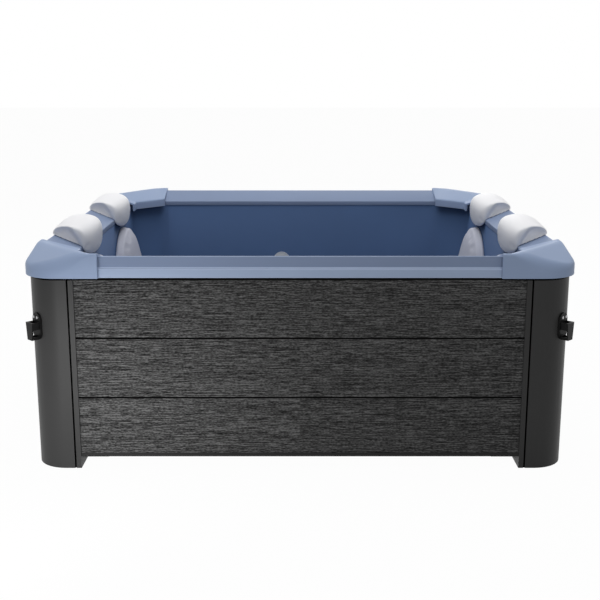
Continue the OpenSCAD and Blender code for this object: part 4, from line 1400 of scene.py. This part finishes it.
@dataclass
class Pillows(SeatPads):
    """The four head pillows astride the left and right rails."""

    length: float = 310 * MM
    length_in: float = 320 * MM
    rise: float = 50 * MM
    tail_out: float = 5 * MM
    tail_h: float = 4 * MM
    tail_pull: float = 32 * MM
    tail_lean: float = 2 * MM
    crown_in: float = 60 * MM
    crown_pull_out: float = 36 * MM
    crown_pull_in: float = 45 * MM
    bulge: float = 32 * MM
    bulge_drop: float = 16 * MM
    bulge_pull_up: float = 45 * MM
    bulge_pull_down: float = 35 * MM
    hang: float = 46 * MM
    tongue_in: float = 15 * MM
    tongue_pull: float = 12 * MM
    tongue_rise: float = 3 * MM
    tongue_back: float = 11 * MM
    roundness: float = 0.95
    flat: float = 0.24
    scoop: float = 28 * MM
    scoop_lean: float = 0.8
    scoop_rim: float = 0.75
    scoop_in: float = 15 * MM
    scoop_soft: float = 40 * MM
    tongue_swell: float = 8 * MM
    gap: float = 0.6 * MM
    hold_in: float = 4 * MM
    hold_up: float = 5 * MM
    spans: int = 32
    curve_steps: int = 10
    under_steps: int = 8
    under_short: float = 0.4
    end_shares: tuple[float, ...] = (0.94, 0.87, 0.79, 0.7, 0.6, 0.45, 0.3, 0.15)
    swelling: Swelling = Swelling(voxel=3.5 * MM, limit=4 * MM, passes=9)

    @property
    def tail_y(self) -> float:
        """Local y of the tail at the rail's outer edge."""
        return -self.sizes.rail_inset + self.tail_out

    def section(self, s: float) -> list[Point2]:
        """The section of a pillow as (y, z).

        Args:
            s: Place along the pillow, from -1 at one end to 1 at the other.

        Returns:
            Points from the tail over the crown and the bulge to the tongue, and back under it.
        """
        t = self.sizes
        swell = math.sqrt(1 - self.roundness * s * s)
        low = t.rail_in_z - self.hang * swell
        high = t.rail_top + self.rise
        tail_z = t.rail_z(self.tail_y) + self.tail_h
        crown_y = -t.rail_inset - self.crown_in
        bulge_y = -t.rail_in - self.bulge * swell
        bulge_z = t.rail_top - self.bulge_drop
        tongue_y = -t.rail_in - self.tongue_in * swell
        tail, crown = (self.tail_y, tail_z), (crown_y, high)
        bulge, tongue = (bulge_y, bulge_z), (tongue_y, low)
        tail_handle = (self.tail_y - self.tail_lean, tail_z + self.tail_pull)
        bulge_handle = (bulge_y, bulge_z + self.bulge_pull_up)
        tongue_handle = (tongue_y - self.tongue_pull * swell, low)
        curves = [
            [tail, tail_handle, (crown_y + self.crown_pull_out, high), crown],
            [crown, (crown_y - self.crown_pull_in, high), bulge_handle, bulge],
            [bulge, (bulge_y, bulge_z - self.bulge_pull_down), tongue_handle, tongue],
        ]
        top = [bezier(c, k / self.curve_steps) for c in curves for k in range(self.curve_steps)]
        back_y = -t.rail_in - self.gap
        top.append(tongue)
        top.append(((tongue_y + back_y) / 2, low + self.tongue_rise * swell))
        top.append((back_y, low + self.tongue_back * swell))
        top = [self.lowered(p, s) for p in top]
        for k in range(self.under_steps + 1):
            y = back_y + (self.tail_y - back_y) * k / (self.under_steps + self.under_short)
            top.append((y, t.rail_z(y) + self.gap))
        return top

    def lowered(self, point: Point2, s: float) -> Point2:
        """A point of the section, lowered towards the pillow's ends if it is above the rail."""
        y, z = point
        base = self.sizes.rail_z(y)
        if z > base + self.gap:
            z = base + (z - base) * (1 - self.flat * s * s)
        return y, z

    def half_length(self, y: float) -> float:
        """Half of the pillow's length at a local y."""
        share = clamp((self.tail_y - y) / (self.tail_y + self.sizes.rail_in))
        return (self.length + (self.length_in - self.length) * share) / 2

    def ring(self, s: float) -> list[Vector]:
        """The closed ring of a pillow at a place along it, from -1 to 1."""
        return [Vector((s * self.half_length(y), y, z)) for y, z in self.section(s)]

    def end_ring(self, ring: Sequence[Vector], share: float, side: float) -> list[Vector]:
        """A ring of an end face, hollow over the rail and full over the tub.

        Args:
            ring: Outermost ring of that end.
            share: Size of the ring, from 1 at the edge to 0 in the middle.
            side: Which end, -1 or 1.

        Returns:
            The ring's points.
        """
        t = self.sizes
        y = -(t.rail_inset + t.rail_in) / 2
        middle = Vector((side * self.half_length(y), y, t.rail_z(y) + self.rise * 0.5))
        points = []
        for p in ring:
            q = middle.lerp(p, share)
            q.x = side * self.half_length(q.y)
            lift = max(0.0, q.z - t.rail_z(q.y))
            past = q.y + t.rail_in + self.scoop_in - self.scoop_lean * lift
            hollow = smooth_step(past / self.scoop_soft)
            depth = math.sin(math.pi / 2 * min(1.0, (1 - share) / self.scoop_rim))
            q.x -= side * depth * (self.scoop * hollow - self.tongue_swell * (1 - hollow))
            points.append(q)
        return points

    def skin(self) -> BMesh:
        """The pillow's plain skin in a local side frame, about its middle."""
        body = [self.ring(2 * k / self.spans - 1) for k in range(self.spans + 1)]
        start = [self.end_ring(body[0], share, -1) for share in reversed(self.end_shares)]
        end = [self.end_ring(body[-1], share, 1) for share in self.end_shares]
        return loft(start + body + end)

    def is_held(self, point: Vector, normal: Vector) -> bool:
        """Whether a point of the skin rests on the rail or lies in an end's hollow."""
        t = self.sizes
        over_rail = point.y > -t.rail_in - self.hold_in
        on_rail = over_rail and point.z < t.rail_z(point.y) + self.hold_up
        in_hollow = abs(normal.x) > 0.5 and point.y > -t.rail_in
        return on_rail or in_hollow

    def seat(self, bm: BMesh) -> None:
        """Lifts what has sunk into the rail back onto its top and its lip."""
        t = self.sizes
        for vert in bm.verts:
            floor = t.rail_z(vert.co.y) + self.gap
            if vert.co.y > -t.rail_in and vert.co.z < floor:
                vert.co.z = floor

    def build(self) -> list[str]:
        """Makes the pillows, each a mirrored copy of one soft form.

        Returns:
            The nodes that they stand for.
        """
        soft = self.swelling.run(self.skin(), self.is_held)
        self.seat(soft)
        return self.place_copies(soft, "head_", "pillow")


@dataclass
class Backrests(SeatPads):
    """The four backrest pads on the left and right inner walls."""

    edge: float = 36 * MM
    crown: float = 91 * MM
    crown_power: float = 1.6
    rim: float = 5 * MM
    rim_back: float = 3 * MM
    foot_r: float = 60 * MM
    gap: float = 0.6 * MM
    hold: float = 6 * MM
    arch_steps: int = 40
    side_steps: int = 8
    foot_steps: int = 8
    back_shares: tuple[float, ...] = (0.1, 0.4, 0.7, 0.97)
    front_shares: tuple[float, ...] = (0.99, 0.97, 0.93, 0.85, 0.7, 0.5, 0.3, 0.1)
    swelling: Swelling = Swelling(voxel=5 * MM, limit=5 * MM, passes=4)

    def outline(self, half: float, foot: float, top: float) -> list[Point2]:
        """The outline of a pad as (x, z): a half round top and round lower corners.

        Args:
            half: Half of its width.
            foot: Height of its lower end.
            top: Height of its top.

        Returns:
            Points in order, from the right end of the arch.
        """
        r = self.foot_r
        spring = top - half
        steps = [k / self.side_steps for k in range(1, self.side_steps)]
        side = [foot + r + (spring - foot - r) * step for step in steps]
        points = arc((0, spring), half, 0, 180, self.arch_steps)
        points += [(-half, z) for z in reversed(side)]
        points += arc((r - half, foot + r), r, 180, 270, self.foot_steps)
        points += arc((half - r, foot + r), r, 270, 360, self.foot_steps)
        points += [(half, z) for z in side]
        return points

    def ring(
        self, outline: Sequence[Point2], middle: float, share: float, depth: float
    ) -> list[Vector]:
        """A ring of the pad, drawn in to its middle.

        Args:
            outline: Outline of the pad.
            middle: Height of its middle.
            share: Size of the ring.
            depth: Distance of the ring from the wall.

        Returns:
            The ring's points in a local side frame.
        """
        y = -self.sizes.liner_inset - self.gap - depth
        return [Vector((x * share, y, middle + (z - middle) * share)) for x, z in outline]

    def skin(self, half: float, foot: float, top: float) -> BMesh:
        """The pad's plain skin in a local side frame, about its middle."""
        outline = self.outline(half, foot, top)
        middle = (foot + top) / 2
        rings = [self.ring(outline, middle, share, 0) for share in self.back_shares]
        rings.append(self.ring(outline, middle, 1.0, self.rim_back))
        rings.append(self.ring(outline, middle, 1.0, self.edge - self.rim))
        for share in self.front_shares:
            rise = (self.crown - self.edge) * (1 - share**self.crown_power)
            rings.append(self.ring(outline, middle, share, self.edge + rise))
        return loft(rings)

    def is_held(self, point: Vector, normal: Vector) -> bool:
        """Whether a point of the skin lies on the wall."""
        return point.y > -self.sizes.liner_inset - self.hold

    def build(self) -> list[str]:
        """Makes the pads, each a mirrored copy of one soft form.

        Returns:
            The nodes that they stand for.
        """
        lo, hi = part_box("backrest_front_left")
        soft = self.swelling.run(self.skin((hi.y - lo.y) / 2, lo.z, hi.z), self.is_held)
        return self.place_copies(soft, "pad_", "backrest")


def main() -> None:
    """Builds the spa's looks round its frame."""
    logging.basicConfig(level=logging.INFO, format="%(name)s %(message)s")
    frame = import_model()
    sizes = TubSizes.from_frame()
    palette = Palette(Effects(sizes))
    Studio().build()
    replaced = []
    for assembly in (Pillows, Backrests, RimRails, CornerCaps, Liner):
        replaced += assembly(sizes, palette).build()
    slots = {part["node"]: part["material_slot"] for part in frame["record"]["subparts"]}
    CadPieces(frame["nodes"], slots, palette).dress(replaced)


if __name__ == "__main__":
    main()
